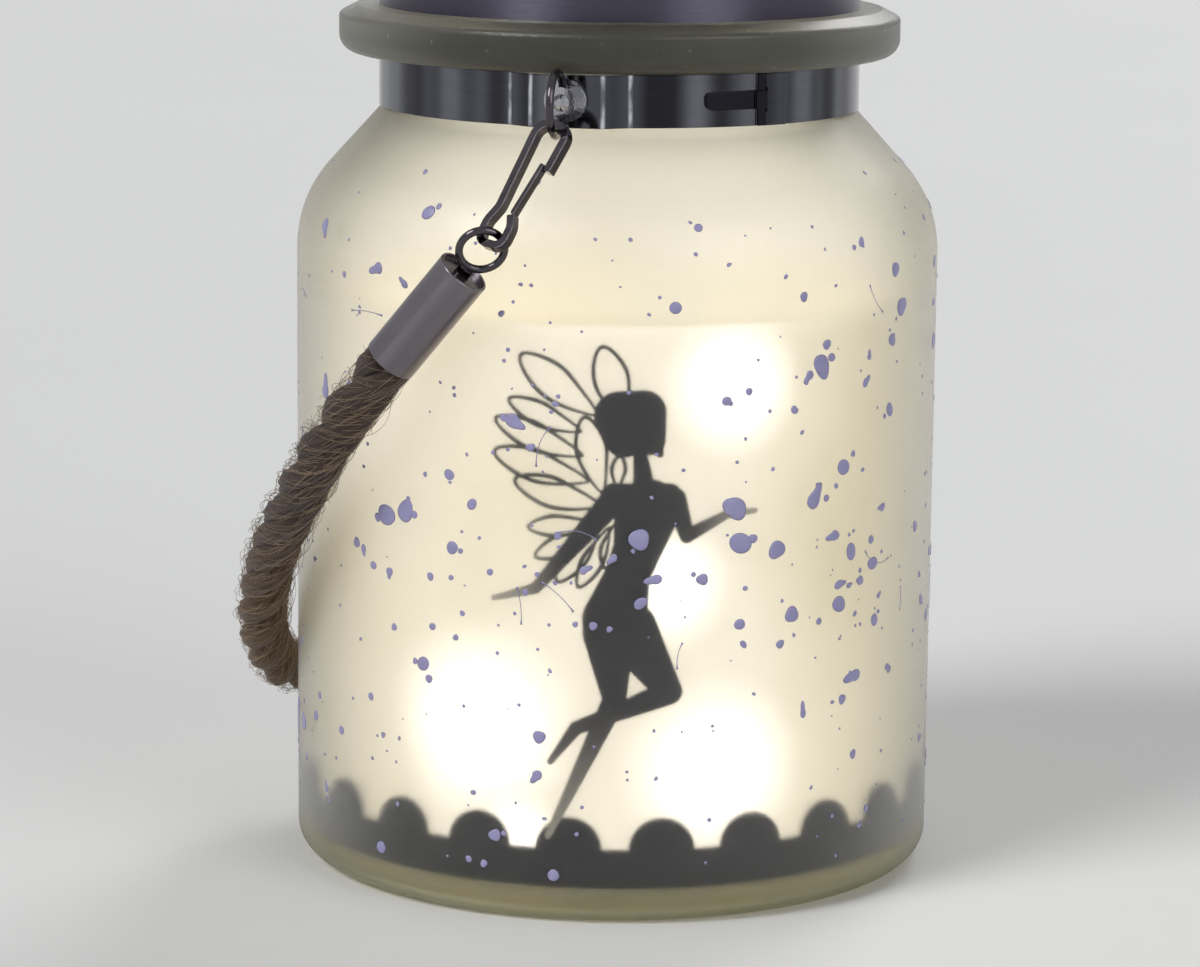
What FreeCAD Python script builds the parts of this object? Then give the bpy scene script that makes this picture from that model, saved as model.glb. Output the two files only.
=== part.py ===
import FreeCAD, Part
import math
import os
import re

import Sketcher

# Mason jar lantern: a frosted glass jar with a rope handle, a string of small lamps and a solar lid.
# Millimetres, +Z up, origin at the middle of the base. The handle's studs lie on the Y axis, front at -Y.

doc = FreeCAD.newDocument("mason_jar_lantern")

SIZES = {
    # glass jar
    "jar_radius": 55.0,
    "glass_wall": 3.0,
    "floor_thickness": 5.0,
    "base_corner": 5.0,
    "foot_ring_width": 6.0,
    "pushup_slope": 3.0,
    "pushup_rise": 1.6,
    "inner_corner": 1.2,
    "shoulder_height": 113.8,
    "shoulder_round": 21.5,
    "shoulder_drop": 1.16,
    "shoulder_rise": 16.13,
    "neck_round": 5.0,
    "neck_wall": 2.9,
    "flange_overhang": 7.4,
    "flange_thickness": 8.0,
    "flange_round": 3.0,
    "rim_bevel_width": 3.0,
    "rim_bevel_height": 1.5,
    "rim_round": 1.0,
    # winged figure, scalloped strip and the film liner behind them
    "figure_gap": 0.15,
    "figure_thickness": 0.5,
    "figure_turn": 11.5,
    "wing_line": 0.3,
    "strip_gap": 0.65,
    "strip_thickness": 0.5,
    "strip_foot": 0.3,
    "strip_height": 6.8,
    "bump_radius": 5.4,
    "bump_proud": 0.15,
    "bump_count": 21,
    "strip_turn": 3.7,
    "film_gap": 0.2,
    "film_thickness": 0.4,
    "film_foot": 0.6,
    "film_height": 93.4,
    "film_wrap": 352.0,
    # neck band
    "band_gap": 0.1,
    "band_thickness": 0.5,
    "band_foot": 0.07,
    "band_height": 8.6,
    "band_room": 0.4,
    "boss_width": 12.0,
    "boss_foot_width": 20.0,
    "boss_depth": 1.7,
    "lap_start": 44.8,
    "lap_sweep": 8.0,
    "tongue_height": 3.0,
    "tongue_tip": 31.4,
    "tongue_round": 1.2,
    "tongue_gap": 0.1,
    "fold_sweep": 1.0,
    "step_sweep": 0.7,
    "slot_offset": 1.6,
    "slot_sweep": 0.9,
    "slot_height": 4.0,
    # eye studs and jump rings
    "pivot_rise": 4.5,
    "stud_head_radius": 2.7,
    "stud_head_thickness": 0.8,
    "stud_head_gap": 0.3,
    "stud_shank_radius": 1.5,
    "stud_running_fit": 0.05,
    "stud_collar_radius": 3.5,
    "stud_collar_thickness": 0.8,
    "stud_barrel_radius": 2.5,
    "stud_barrel_length": 3.6,
    "stud_dome_radius": 1.4,
    "stud_dome_rise": 0.8,
    "stud_hole_radius": 1.2,
    "stud_hole_offset": 1.75,
    "ring_radius": 5.1,
    "ring_wire_radius": 0.65,
    "ring_bite": 0.3,
    # snap hooks
    "hook_thickness": 1.3,
    "hook_width": 1.7,
    "hook_length": 22.2,
    "hook_top_half_width": 3.0,
    "hook_waist": 15.7,
    "hook_heel_left": -3.75,
    "hook_heel_right": 0.95,
    "hook_heel_rise": 2.8,
    "hook_back_inset": 0.2,
    "hook_nose": 8.0,
    "hook_nose_inset": 0.5,
    "hook_side_angle": 22.0,
    "link_stand_off": 4.4,
    "hook_face_turn": -24.0,
    "ring_link_gap": 0.3,
    "eye_link_gap": 0.75,
    "gate_thickness": 0.8,
    "gate_width": 1.4,
    "gate_overlap": 1.0,
    "gate_gap": 0.3,
    "gate_root_gap": 0.2,
    "gate_root_inset": 0.85,
    "gate_root_drop": 0.3,
    # swivel eyes, ferrules and rope
    "eye_radius": 3.65,
    "eye_wire_radius": 0.65,
    "eye_face_turn": 36.0,
    "eye_neck": 0.5,
    "eye_stem_radius": 1.3,
    "eye_head_radius": 2.2,
    "eye_head_thickness": 0.8,
    "ferrule_radius": 4.4,
    "ferrule_wall": 0.45,
    "ferrule_recess": 0.8,
    "ferrule_cap": 1.4,
    "ferrule_length": 20.0,
    "ferrule_round": 0.2,
    "ferrule_side_angle": 39.9,
    "ferrule_out_angle": -7.7,
    "rope_radius": 4.2,
    "rope_fit": 0.05,
    "rope_in_ferrule": 12.0,
    "rope_straight": 13.0,
    # lid shell
    "lid_overhang": 4.6,
    "lid_wall": 0.6,
    "lid_gap": 0.05,
    "lid_hem_width": 1.6,
    "lid_hem_height": 1.0,
    "lid_lip": 4.5,
    "lid_round": 2.0,
    # lid housing, seal, bezel and panel
    "plug_gap": 1.1,
    "plug_wall": 3.0,
    "plug_depth": 8.5,
    "brim_gap": 0.2,
    "brim_thickness": 1.5,
    "deck_thickness": 2.0,
    "seal_groove_depth": 1.1,
    "seal_groove_height": 5.6,
    "seal_groove_rise": 1.9,
    "seal_fit": 0.05,
    "seal_clearance": 0.15,
    "seal_base": 0.9,
    "seal_rib": 1.2,
    "bezel_gap": 0.3,
    "lip_gap": 0.2,
    "bezel_thickness": 2.2,
    "panel_size": 42.6,
    "panel_thickness": 1.6,
    "panel_gap": 0.2,
    # cell and its contacts
    "cell_radius": 7.1,
    "cell_length": 49.0,
    "cell_button_radius": 2.6,
    "cell_button_length": 1.4,
    "cell_offset": 10.0,
    "cell_floor_gap": 1.7,
    "cell_seat_gap": 0.15,
    "cell_top_gap": 1.6,
    "saddle_thickness": 1.6,
    "saddle_width": 17.0,
    "saddle_drop": 11.0,
    "saddle_spacing": 30.0,
    "contact_thickness": 0.5,
    "contact_width": 10.0,
    "contact_height": 12.0,
    "contact_bump_radius": 2.4,
    "contact_bump_rise": 1.2,
    "contact_gap": 0.1,
    "stop_wall_gap": 0.4,
    # circuit board and switch
    "board_length": 32.0,
    "board_width": 18.0,
    "board_thickness": 1.2,
    "board_offset": 15.0,
    "board_drop": 6.0,
    "board_boss_spacing": 26.0,
    "board_boss_radius": 2.2,
    "board_screw_radius": 0.9,
    "board_screw_head_radius": 1.8,
    "board_screw_head_height": 1.0,
    "board_screw_length": 4.5,
    "pilot_spare": 0.5,
    "chip_length": 6.0,
    "chip_width": 5.0,
    "chip_height": 1.6,
    "chip_x": -2.0,
    "chip_y": -3.0,
    "coil_radius": 2.6,
    "coil_height": 3.2,
    "coil_x": 5.0,
    "coil_y": 4.0,
    "capacitor_radius": 2.0,
    "capacitor_height": 3.6,
    "capacitor_x": -6.0,
    "capacitor_y": 5.0,
    "switch_x": 9.0,
    "switch_y": 13.0,
    "switch_length": 10.0,
    "switch_width": 6.0,
    "switch_height": 4.6,
    "knob_size": 2.2,
    "knob_travel": 3.0,
    "knob_gap": 0.2,
    "knob_proud": 1.2,
    "knob_depth": 2.2,
    # bottom cover, screws and grommet
    "cover_thickness": 2.0,
    "cover_gap": 0.3,
    "part_gap": 0.1,
    "post_inset": 4.4,
    "post_radius": 2.8,
    "post_count": 3,
    "cover_screw_radius": 1.0,
    "cover_screw_length": 7.0,
    "cover_screw_head_radius": 2.1,
    "cover_screw_head_height": 1.1,
    "close_fit": 0.05,
    "screw_clearance": 0.2,
    "grommet_y": 1.5,
    "grommet_neck_radius": 2.1,
    "grommet_flange_radius": 3.2,
    "grommet_flange_thickness": 0.9,
    "grommet_bore_radius": 0.6,
    # string of lamps
    "wire_radius": 0.5,
    "bead_radius": 1.7,
}

# Sizes that follow from those above. The lid's room is as wide and deep as the cell and its stops need.
STOP_END = (
    "cell_length / 2 + cell_button_length + contact_bump_rise + contact_thickness"
    " + 2 * contact_gap + saddle_thickness"
)
FOLLOWING = {
    "room_radius": f"sqrt(({STOP_END})^2 + (cell_offset + contact_width / 2)^2) + stop_wall_gap",
    "plug_radius": "room_radius + plug_wall",
    "mouth_radius": "plug_radius + plug_gap",
    "neck_radius": "mouth_radius + neck_wall",
    "flange_radius": "neck_radius + flange_overhang",
    "lid_radius": "plug_radius + lid_overhang",
    "post_circle": "room_radius - post_inset",
    "pushup_radius": "jar_radius - base_corner - foot_ring_width - pushup_slope",
    "neck_foot": "shoulder_height + shoulder_rise",
    "flange_bottom": "neck_foot + band_foot + band_height + band_room",
    "pivot_height": "neck_foot + band_foot + pivot_rise",
    "cell_height": "cell_floor_gap + 2 * cell_radius + cell_top_gap",
    "deck_height": "cover_thickness + cell_height + deck_thickness - plug_depth",
    "lid_height": "deck_height + part_gap / 2 + bezel_thickness + lip_gap + lid_wall - lid_gap",
}

# How far a cutting solid runs on past what it cuts
OVERRUN = "1"

# The rope's route between its two straight ends, chosen by hand: it lies against the jar's left side.
ROPE_BEND = (
    (-42.8, -47.0, 70.5),
    (-54.0, -30.5, 53.5),
    (-61.0, -11.5, 36.0),
    (-61.0, 11.0, 23.5),
    (-52.0, 33.5, 29.0),
    (-44.5, 45.0, 50.0),
    (-39.0, 51.5, 69.0),
)

# The lamp wire's route as angle from +X in degrees, distance from the jar's axis, and height.
WIRE_ROUTE = (
    (90, 1.5, 143.5),
    (90, 1.5, 130.0),
    (13, 13.3, 119.0),
    (8, 30.3, 105.0),
    (-8, 29.2, 86.1),
    (-52, 29.2, 82.9),
    (-100, 29.0, 78.6),
    (-150, 29.0, 74.3),
    (-200, 29.0, 70.0),
    (-250, 29.0, 65.7),
    (-300, 29.0, 61.4),
    (-350, 29.0, 57.1),
    (-398, 30.5, 52.9),
    (-441, 30.6, 49.7),
    (-471, 33.1, 28.0),
    (-499, 33.1, 25.6),
    (-545, 29.0, 24.7),
    (-595, 29.0, 23.8),
    (-645, 29.0, 22.9),
    (-695, 29.0, 22.0),
    (-745, 32.4, 21.5),
    (-781, 32.3, 20.5),
    (-807, 27.8, 10.2),
    (-840, 27.8, 8.8),
)

# A lamp bead sits at the middle of each of these runs of the wire.
BEAD_RUN_NUMBERS = (4, 7, 9, 12, 14, 17, 20, 22)

# The figure's limbs, each a tapered stroke: start (x, z), radius there, end (x, z), radius there.
FIGURE_STROKES = {
    "crown": ((0.6, 84.7), 4.0, (4.4, 85.2), 3.7),
    "hair": ((0.6, 84.7), 4.0, (1.4, 81.0), 3.1),
    "fringe": ((4.4, 85.2), 3.7, (5.5, 80.8), 2.5),
    "lock": ((5.9, 80.8), 1.8, (7.2, 78.4), 0.5),
    "neck": ((4.0, 78.5), 1.1, (4.6, 73.3), 1.7),
    "shoulders": ((-0.1, 71.5), 2.2, (8.8, 71.8), 1.8),
    "chest": ((5.2, 69.2), 5.2, (3.8, 63.1), 3.9),
    "waist": ((3.8, 63.1), 3.9, (2.1, 58.3), 3.6),
    "hips": ((2.1, 58.3), 3.6, (0.2, 51.0), 5.2),
    "front_thigh": ((2.4, 49.6), 4.6, (9.1, 39.0), 2.1),
    "front_shin": ((9.1, 39.0), 2.1, (-0.8, 35.0), 1.3),
    "front_heel": ((-0.8, 35.0), 1.3, (-5.8, 32.9), 1.1),
    "front_foot": ((-5.8, 32.9), 1.1, (-9.9, 27.1), 0.5),
    "back_thigh": ((-0.7, 48.9), 4.2, (0.3, 37.8), 1.9),
    "back_shin": ((0.3, 37.8), 1.9, (-7.3, 20.8), 0.9),
    "back_foot": ((-7.3, 20.8), 0.9, (-10.2, 14.5), 0.5),
    "right_arm": ((9.7, 71.1), 1.7, (11.6, 64.9), 1.2),
    "right_forearm": ((11.6, 64.9), 1.2, (18.0, 68.2), 0.7),
    "right_hand": ((18.0, 68.2), 0.7, (22.5, 68.5), 0.4),
    "left_arm": ((-1.0, 70.0), 2.1, (-7.4, 62.2), 1.4),
    "left_forearm": ((-7.4, 62.2), 1.4, (-12.5, 55.9), 0.9),
    "left_hand": ((-12.5, 55.9), 0.9, (-19.2, 53.8), 0.4),
}

# The wings' cells, each a petal: root (x, z), tip (x, z) and half its width.
UPPER_WING = (
    ((1.3, 83.6), (-2.3, 96.2), 2.8),
    ((-3.3, 84.6), (-15.3, 94.4), 2.8),
    ((-5.6, 81.8), (-17.2, 87.0), 2.0),
    ((-5.4, 77.8), (-19.3, 83.7), 2.3),
    ((-4.4, 73.6), (-19.5, 78.3), 2.6),
    ((-2.4, 69.6), (-16.2, 73.8), 2.5),
    ((-2.3, 72.0), (-4.9, 84.7), 2.5),
    ((0.3, 72.8), (0.8, 78.4), 1.3),
)
LOWER_WING = (
    ((-3.4, 66.9), (-14.0, 66.0), 1.8),
    ((-3.4, 65.6), (-12.8, 61.1), 1.8),
    ((-2.4, 65.8), (-9.3, 57.0), 1.8),
    ((-0.6, 66.2), (-5.8, 56.2), 1.8),
    ((0.6, 67.2), (-1.5, 59.4), 1.7),
)

sheet = doc.addObject("Spreadsheet::Sheet", "size")
cells = {alias: str(value) for alias, value in SIZES.items()}
cells.update({alias: f"={text}" for alias, text in FOLLOWING.items()})
for row, (alias, content) in enumerate(cells.items(), start=1):
    sheet.set(f"A{row}", alias)
    sheet.setAlias(f"B{row}", alias)
    sheet.set(f"B{row}", content)
doc.recompute()

nodes = {}


def mm(alias):
    """A driving dimension's value, read from the sheet."""
    return float(sheet.get(alias))


def formula(text):
    """An expression in which every driving dimension points at its cell."""
    return re.sub(
        r"[a-z][a-z_]*",
        lambda word: f"size.{word[0]}" if word[0] in cells else word[0],
        text,
    )


def bind(item, **expressions):
    """Binds properties of a document object to formulas."""
    for name, text in expressions.items():
        item.setExpression(name, formula(text))
    return item


def place(item, x="0", y="0", z="0"):
    """Binds where a document object stands."""
    for axis, text in (("x", x), ("y", y), ("z", z)):
        item.setExpression(f"Placement.Base.{axis}", formula(text))
    return item


def keep(item, label):
    """Names a finished sub-part, which is then written to its own file."""
    item.Label = label
    nodes[label] = item
    return item


# Primitives and booleans


def cylinder(name, radius, height, x="0", y="0", z="0", sweep=None):
    item = doc.addObject("Part::Cylinder", name)
    bind(item, Radius=radius, Height=height)
    if sweep:
        bind(item, Angle=sweep)
    return place(item, x, y, z)


def block(name, length, width, height, x="0", y="0", z="0"):
    """A box given by the middle of its foot."""
    item = doc.addObject("Part::Box", name)
    bind(item, Length=length, Width=width, Height=height)
    return place(item, f"{x} - ({length}) / 2", f"{y} - ({width}) / 2", z)


def turned(item, rotation):
    """Turns a primitive and leaves its bound place as it is."""
    item.Placement = FreeCAD.Placement(item.Placement.Base, rotation)
    return item


def cut(name, base, tool):
    item = doc.addObject("Part::Cut", name)
    item.Base = base
    item.Tool = tool
    return item


def fuse(name, shapes):
    item = doc.addObject("Part::MultiFuse", name)
    item.Shapes = shapes
    return item


def tube(name, inner, outer, height, z, sweep=None):
    wall = cylinder(f"{name}_outside", outer, height, z=z, sweep=sweep)
    bore = cylinder(f"{name}_bore", inner, f"{height} + 2 * {OVERRUN}", z=f"{z} - {OVERRUN}")
    return cut(name, wall, bore)


# Bodies, sketches and features


def new_body(name):
    return doc.addObject("PartDesign::Body", f"{name}_body")


def new_sketch(body, plane, name):
    sketch = body.newObject("Sketcher::SketchObject", name)
    planes = {item.Role: item for item in body.Origin.OriginFeatures}
    sketch.AttachmentSupport = (planes[plane], [""])
    sketch.MapMode = "FlatFace"
    return sketch


def fix_point(sketch, geometry, point, x, y):
    """Holds a sketch point at a bound distance from the sketch's origin."""
    for kind, axis, text in (("DistanceX", -2, x), ("DistanceY", -1, y)):
        if text == "0":
            sketch.addConstraint(Sketcher.Constraint("PointOnObject", geometry, point, axis))
        else:
            held = Sketcher.Constraint(kind, -1, 1, geometry, point, 1.0)
            index = sketch.addConstraint(held)
            sketch.setExpression(f"Constraints[{index}]", formula(text))


def outline(body, plane, name, corners):
    """A closed outline of straight lines whose corners are bound to formulas."""
    sketch = new_sketch(body, plane, name)
    count = len(corners)
    start = [
        FreeCAD.Vector(math.cos(2 * math.pi * i / count), math.sin(2 * math.pi * i / count), 0)
        for i in range(count)
    ]
    for i in range(count):
        sketch.addGeometry(Part.LineSegment(start[i], start[(i + 1) % count]))
    for i in range(count):
        sketch.addConstraint(Sketcher.Constraint("Coincident", i, 2, (i + 1) % count, 1))
    for i, (x, y) in enumerate(corners):
        fix_point(sketch, i, 1, x, y)
    return sketch


def circle_outline(body, plane, name, circles):
    """Circles given as centre x, centre y and radius."""
    sketch = new_sketch(body, plane, name)
    for x, y, radius in circles:
        circle = Part.Circle(FreeCAD.Vector(1, 1, 0), FreeCAD.Vector(0, 0, 1), 1.0)
        index = sketch.addGeometry(circle)
        fix_point(sketch, index, 3, x, y)
        held = sketch.addConstraint(Sketcher.Constraint("Radius", index, 1.0))
        sketch.setExpression(f"Constraints[{held}]", formula(radius))
    return sketch


def revolve(body, sketch):
    feature = body.newObject("PartDesign::Revolution", f"{sketch.Name}_turn")
    feature.Profile = sketch
    feature.ReferenceAxis = (sketch, ["V_Axis"])
    feature.Angle = 360
    return feature


def pad(body, sketch, length, reverse=False):
    feature = body.newObject("PartDesign::Pad", f"{sketch.Name}_pad")
    feature.Profile = sketch
    feature.Reversed = reverse
    return bind(feature, Length=length)


def drill(body, sketch):
    """A pocket right through the body, both ways from its sketch."""
    feature = body.newObject("PartDesign::Pocket", f"{sketch.Name}_pocket")
    feature.Profile = sketch
    feature.SideType = "Symmetric"
    feature.Type = "ThroughAll"
    return feature


def rim_edges(feature, radius, height):
    """The names of the circular edges of this radius at this height."""
    doc.recompute()
    found = []
    for index, edge in enumerate(feature.Shape.Edges, start=1):
        curve = edge.Curve
        if isinstance(curve, Part.Circle):
            level = abs(curve.Center.z - height) < 1e-4
            if level and abs(curve.Radius - radius) < 1e-4:
                found.append(f"Edge{index}")
    return found


def round_edges(body, feature, radius, height, amount):
    """Rounds the circular edges of one radius at one height."""
    rounded = body.newObject("PartDesign::Fillet", f"{feature.Name}_round")
    rounded.Base = (feature, rim_edges(feature, radius, height))
    return bind(rounded, Radius=amount)


# Wires swept along routes


# How much of its shorter run a rounded corner may take up.
CORNER_SHARE = 0.45


def rounded_route(points, largest=None):
    """Straight runs joined by tangent arcs, each as large as its two runs allow, and the arcs' radii."""
    edges = []
    radii = []
    last = points[0]
    for before, corner, after in zip(points, points[1:], points[2:]):
        back = before - corner
        ahead = after - corner
        half_turn = (math.pi - back.getAngle(ahead)) / 2
        radius = CORNER_SHARE * min(back.Length, ahead.Length) / math.tan(half_turn)
        if largest:
            radius = min(radius, largest)
        reach = radius * math.tan(half_turn)
        back.normalize()
        ahead.normalize()
        start = corner + back * reach
        end = corner + ahead * reach
        inward = (back + ahead).normalize()
        middle = corner + inward * (radius / math.cos(half_turn) - radius)
        edges.append(Part.LineSegment(last, start).toShape())
        edges.append(Part.Arc(start, middle, end).toShape())
        radii.append(radius)
        last = end
    edges.append(Part.LineSegment(last, points[-1]).toShape())
    return Part.Wire(edges), radii


def round_tube(wire, radius):
    """A round tube along a wire, with its volume compared with its section times its length."""
    start = wire.Edges[0].firstVertex().Point
    along = wire.Edges[0].tangentAt(wire.Edges[0].FirstParameter)
    section = Part.Wire([Part.Circle(start, along, radius).toShape()])
    solid = wire.makePipeShell([section], True, False)
    share = solid.Volume / (math.pi * radius**2 * wire.Length)
    return solid, share


# Glass jar


def make_jar():
    body = new_body("jar")
    profile = outline(
        body,
        "XZ_Plane",
        "jar_profile",
        [
            ("0", "pushup_rise"),
            ("pushup_radius", "pushup_rise"),
            ("pushup_radius + pushup_slope", "0"),
            ("jar_radius", "0"),
            ("jar_radius", "shoulder_height"),
            ("neck_radius", "neck_foot"),
            ("neck_radius", "flange_bottom"),
            ("flange_radius", "flange_bottom"),
            ("flange_radius", "flange_bottom + flange_thickness - rim_bevel_height"),
            ("flange_radius - rim_bevel_width", "flange_bottom + flange_thickness"),
            ("mouth_radius", "flange_bottom + flange_thickness"),
            ("mouth_radius", "neck_foot - shoulder_drop"),
            ("jar_radius - glass_wall", "shoulder_height - shoulder_drop"),
            ("jar_radius - glass_wall", "floor_thickness"),
            ("0", "floor_thickness"),
        ],
    )
    jar = revolve(body, profile)
    rim_top = mm("flange_bottom") + mm("flange_thickness")
    inside = mm("jar_radius") - mm("glass_wall")
    inner_shoulder = mm("shoulder_height") - mm("shoulder_drop")
    for radius, height, amount in (
        (mm("jar_radius"), 0, "base_corner"),
        (mm("jar_radius"), mm("shoulder_height"), "shoulder_round"),
        (inside, inner_shoulder, "shoulder_round - glass_wall"),
        (inside, mm("floor_thickness"), "inner_corner"),
        (mm("mouth_radius"), mm("neck_foot") - mm("shoulder_drop"), "neck_round"),
        (mm("flange_radius"), mm("flange_bottom"), "flange_round"),
        (mm("flange_radius"), rim_top - mm("rim_bevel_height"), "rim_round"),
        (mm("flange_radius") - mm("rim_bevel_width"), rim_top, "rim_round"),
        (mm("mouth_radius"), rim_top, "rim_round"),
    ):
        jar = round_edges(body, jar, radius, height, amount)
    keep(body, "glass_jar")


# Winged figure, scalloped strip and film liner, from the glass inwards

STRIP_OUTSIDE = "jar_radius - glass_wall - figure_gap - figure_thickness - strip_gap"
FILM_OUTSIDE = f"{STRIP_OUTSIDE} - strip_thickness - film_gap"


def make_film():
    """A sheet rolled into the jar, with its two edges nearly meeting at the back."""
    film = tube(
        "film",
        f"{FILM_OUTSIDE} - film_thickness",
        FILM_OUTSIDE,
        "film_height",
        "floor_thickness + film_foot",
        sweep="film_wrap",
    )
    half_gap = (360 - mm("film_wrap")) / 2
    film.Placement.Rotation = FreeCAD.Rotation(FreeCAD.Vector(0, 0, 1), 90 + half_gap)
    keep(film, "film_liner")


def tapered_stroke(start, start_radius, end, end_radius):
    """A flat face round two circles and the lines that touch both, in the XZ plane."""
    a = FreeCAD.Vector(start[0], 0, start[1])
    b = FreeCAD.Vector(end[0], 0, end[1])
    heading = math.atan2(end[1] - start[1], end[0] - start[0])
    spread = math.acos((start_radius - end_radius) / (b - a).Length)

    def on_circle(centre, radius, angle):
        return centre + FreeCAD.Vector(math.cos(angle), 0, math.sin(angle)) * radius

    a_left = on_circle(a, start_radius, heading + spread)
    a_far = on_circle(a, start_radius, heading + math.pi)
    a_right = on_circle(a, start_radius, heading - spread)
    b_left = on_circle(b, end_radius, heading + spread)
    b_far = on_circle(b, end_radius, heading)
    b_right = on_circle(b, end_radius, heading - spread)
    edges = [
        Part.Arc(a_left, a_far, a_right).toShape(),
        Part.LineSegment(a_right, b_right).toShape(),
        Part.Arc(b_right, b_far, b_left).toShape(),
        Part.LineSegment(b_left, a_left).toShape(),
    ]
    return Part.Face(Part.Wire(edges))


def petal(root, tip, half_width):
    """A rounded outline, widest past its middle, in the XZ plane."""
    foot = FreeCAD.Vector(root[0], 0, root[1])
    ahead = FreeCAD.Vector(tip[0], 0, tip[1]) - foot
    across = FreeCAD.Vector(-ahead.z, 0, ahead.x).normalize() * half_width
    points = [
        foot + ahead * share + across * side
        for share, side in ((0, 0), (0.3, 0.8), (0.7, 1), (1, 0), (0.7, -1), (0.3, -0.8))
    ]
    curve = Part.BSplineCurve()
    curve.interpolate(points, PeriodicFlag=True)
    return Part.Wire([curve.toShape()])


def wing_cell(root, tip, half_width):
    """A petal of the wing's outline, open in the middle."""
    line = mm("wing_line")
    inwards = FreeCAD.Vector(tip[0] - root[0], tip[1] - root[1], 0).normalize() * (2 * line)
    inner_root = (root[0] + inwards.x, root[1] + inwards.y)
    inner_tip = (tip[0] - inwards.x, tip[1] - inwards.y)
    loops = [petal(root, tip, half_width), petal(inner_root, inner_tip, half_width - 2 * line)]
    return Part.makeFace(loops, "Part::FaceMakerBullseye")


def make_figure():
    """The figure's flat outline, cut out of a thin sheet that follows the glass."""
    outside = mm("jar_radius") - mm("glass_wall") - mm("figure_gap")
    forwards = FreeCAD.Vector(0, -mm("jar_radius"), 0)
    limbs = [tapered_stroke(*stroke).extrude(forwards) for stroke in FIGURE_STROKES.values()]
    stencil = limbs[0].multiFuse(limbs[1:]).removeSplitter()
    inside = outside - mm("figure_thickness")
    full_height = mm("floor_thickness") + mm("film_foot") + mm("film_height")
    sheet_tube = Part.makeCylinder(outside, full_height).cut(Part.makeCylinder(inside, full_height))
    cells_cut = [sheet_tube.common(wing_cell(*cell).extrude(forwards)) for cell in UPPER_WING + LOWER_WING]
    figure = doc.addObject("Part::Feature", "figure")
    figure.Shape = sheet_tube.common(stencil).multiFuse(cells_cut).removeSplitter()
    figure.Placement = FreeCAD.Placement(
        FreeCAD.Vector(0, 0, 0),
        FreeCAD.Rotation(FreeCAD.Vector(0, 0, 1), mm("figure_turn")),
    )
    keep(figure, "winged_figure")


def make_strip():
    """A ring with a row of round bumps along its top, standing inside the figure's sheet."""
    outside = STRIP_OUTSIDE
    foot = "floor_thickness + strip_foot"
    body = new_body("strip")
    ring = outline(
        body,
        "XZ_Plane",
        "strip_profile",
        [
            (f"{outside} - strip_thickness", foot),
            (outside, foot),
            (outside, f"{foot} + strip_height"),
            (f"{outside} - strip_thickness", f"{foot} + strip_height"),
        ],
    )
    revolve(body, ring)
    bump = circle_outline(
        body, "XZ_Plane", "strip_bump", [("0", f"{foot} + strip_height", "bump_radius")]
    )
    bump_back = f"{outside} - strip_thickness + bump_proud"
    bump.setExpression("AttachmentOffset.Base.z", formula(bump_back))
    raised = pad(body, bump, "strip_thickness")
    pattern = body.newObject("PartDesign::PolarPattern", "strip_bumps")
    pattern.Originals = [raised]
    pattern.Axis = (ring, ["V_Axis"])
    pattern.Angle = 360
    bind(pattern, Occurrences="bump_count")
    body.Tip = pattern
    body.Placement.Rotation = FreeCAD.Rotation(FreeCAD.Vector(0, 0, 1), mm("strip_turn"))
    keep(body, "scalloped_strip")


# Neck band

BAND_INSIDE = "neck_radius + band_gap"
BAND_OUTSIDE = f"{BAND_INSIDE} + band_thickness"
BAND_FOOT = "neck_foot + band_foot"
BOSS_FACE = f"{BAND_OUTSIDE} + boss_depth"


def sector(name, inner, outer, height, z, start, sweep):
    """A piece of a ring from one bound angle on, measured from the front stud towards +X."""
    item = tube(name, inner, outer, height, z, sweep=sweep)
    item.setExpression("Placement.Rotation.Angle", formula(f"{start} - 90"))
    return item


def boss_pair(name, narrower, shallower, height, foot):
    """The front and back bosses as one block with sloping flanks, drawn in by two amounts."""
    half_foot = f"boss_foot_width / 2 - {narrower}"
    half_top = f"boss_width / 2 - {narrower}"
    foot_level = f"sqrt(({BAND_OUTSIDE})^2 - (boss_foot_width / 2)^2) - {shallower}"
    top_level = f"{BOSS_FACE} - {shallower}"
    corners = [
        (half_foot, f"-({foot_level})"),
        (half_foot, foot_level),
        (half_top, top_level),
        (f"-({half_top})", top_level),
        (f"-({half_foot})", foot_level),
        (f"-({half_foot})", f"-({foot_level})"),
        (f"-({half_top})", f"-({top_level})"),
        (half_top, f"-({top_level})"),
    ]
    body = new_body(name)
    sketch = outline(body, "XY_Plane", f"{name}_outline", corners)
    sketch.setExpression("AttachmentOffset.Base.z", formula(foot))
    pad(body, sketch, height)
    return body


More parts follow.
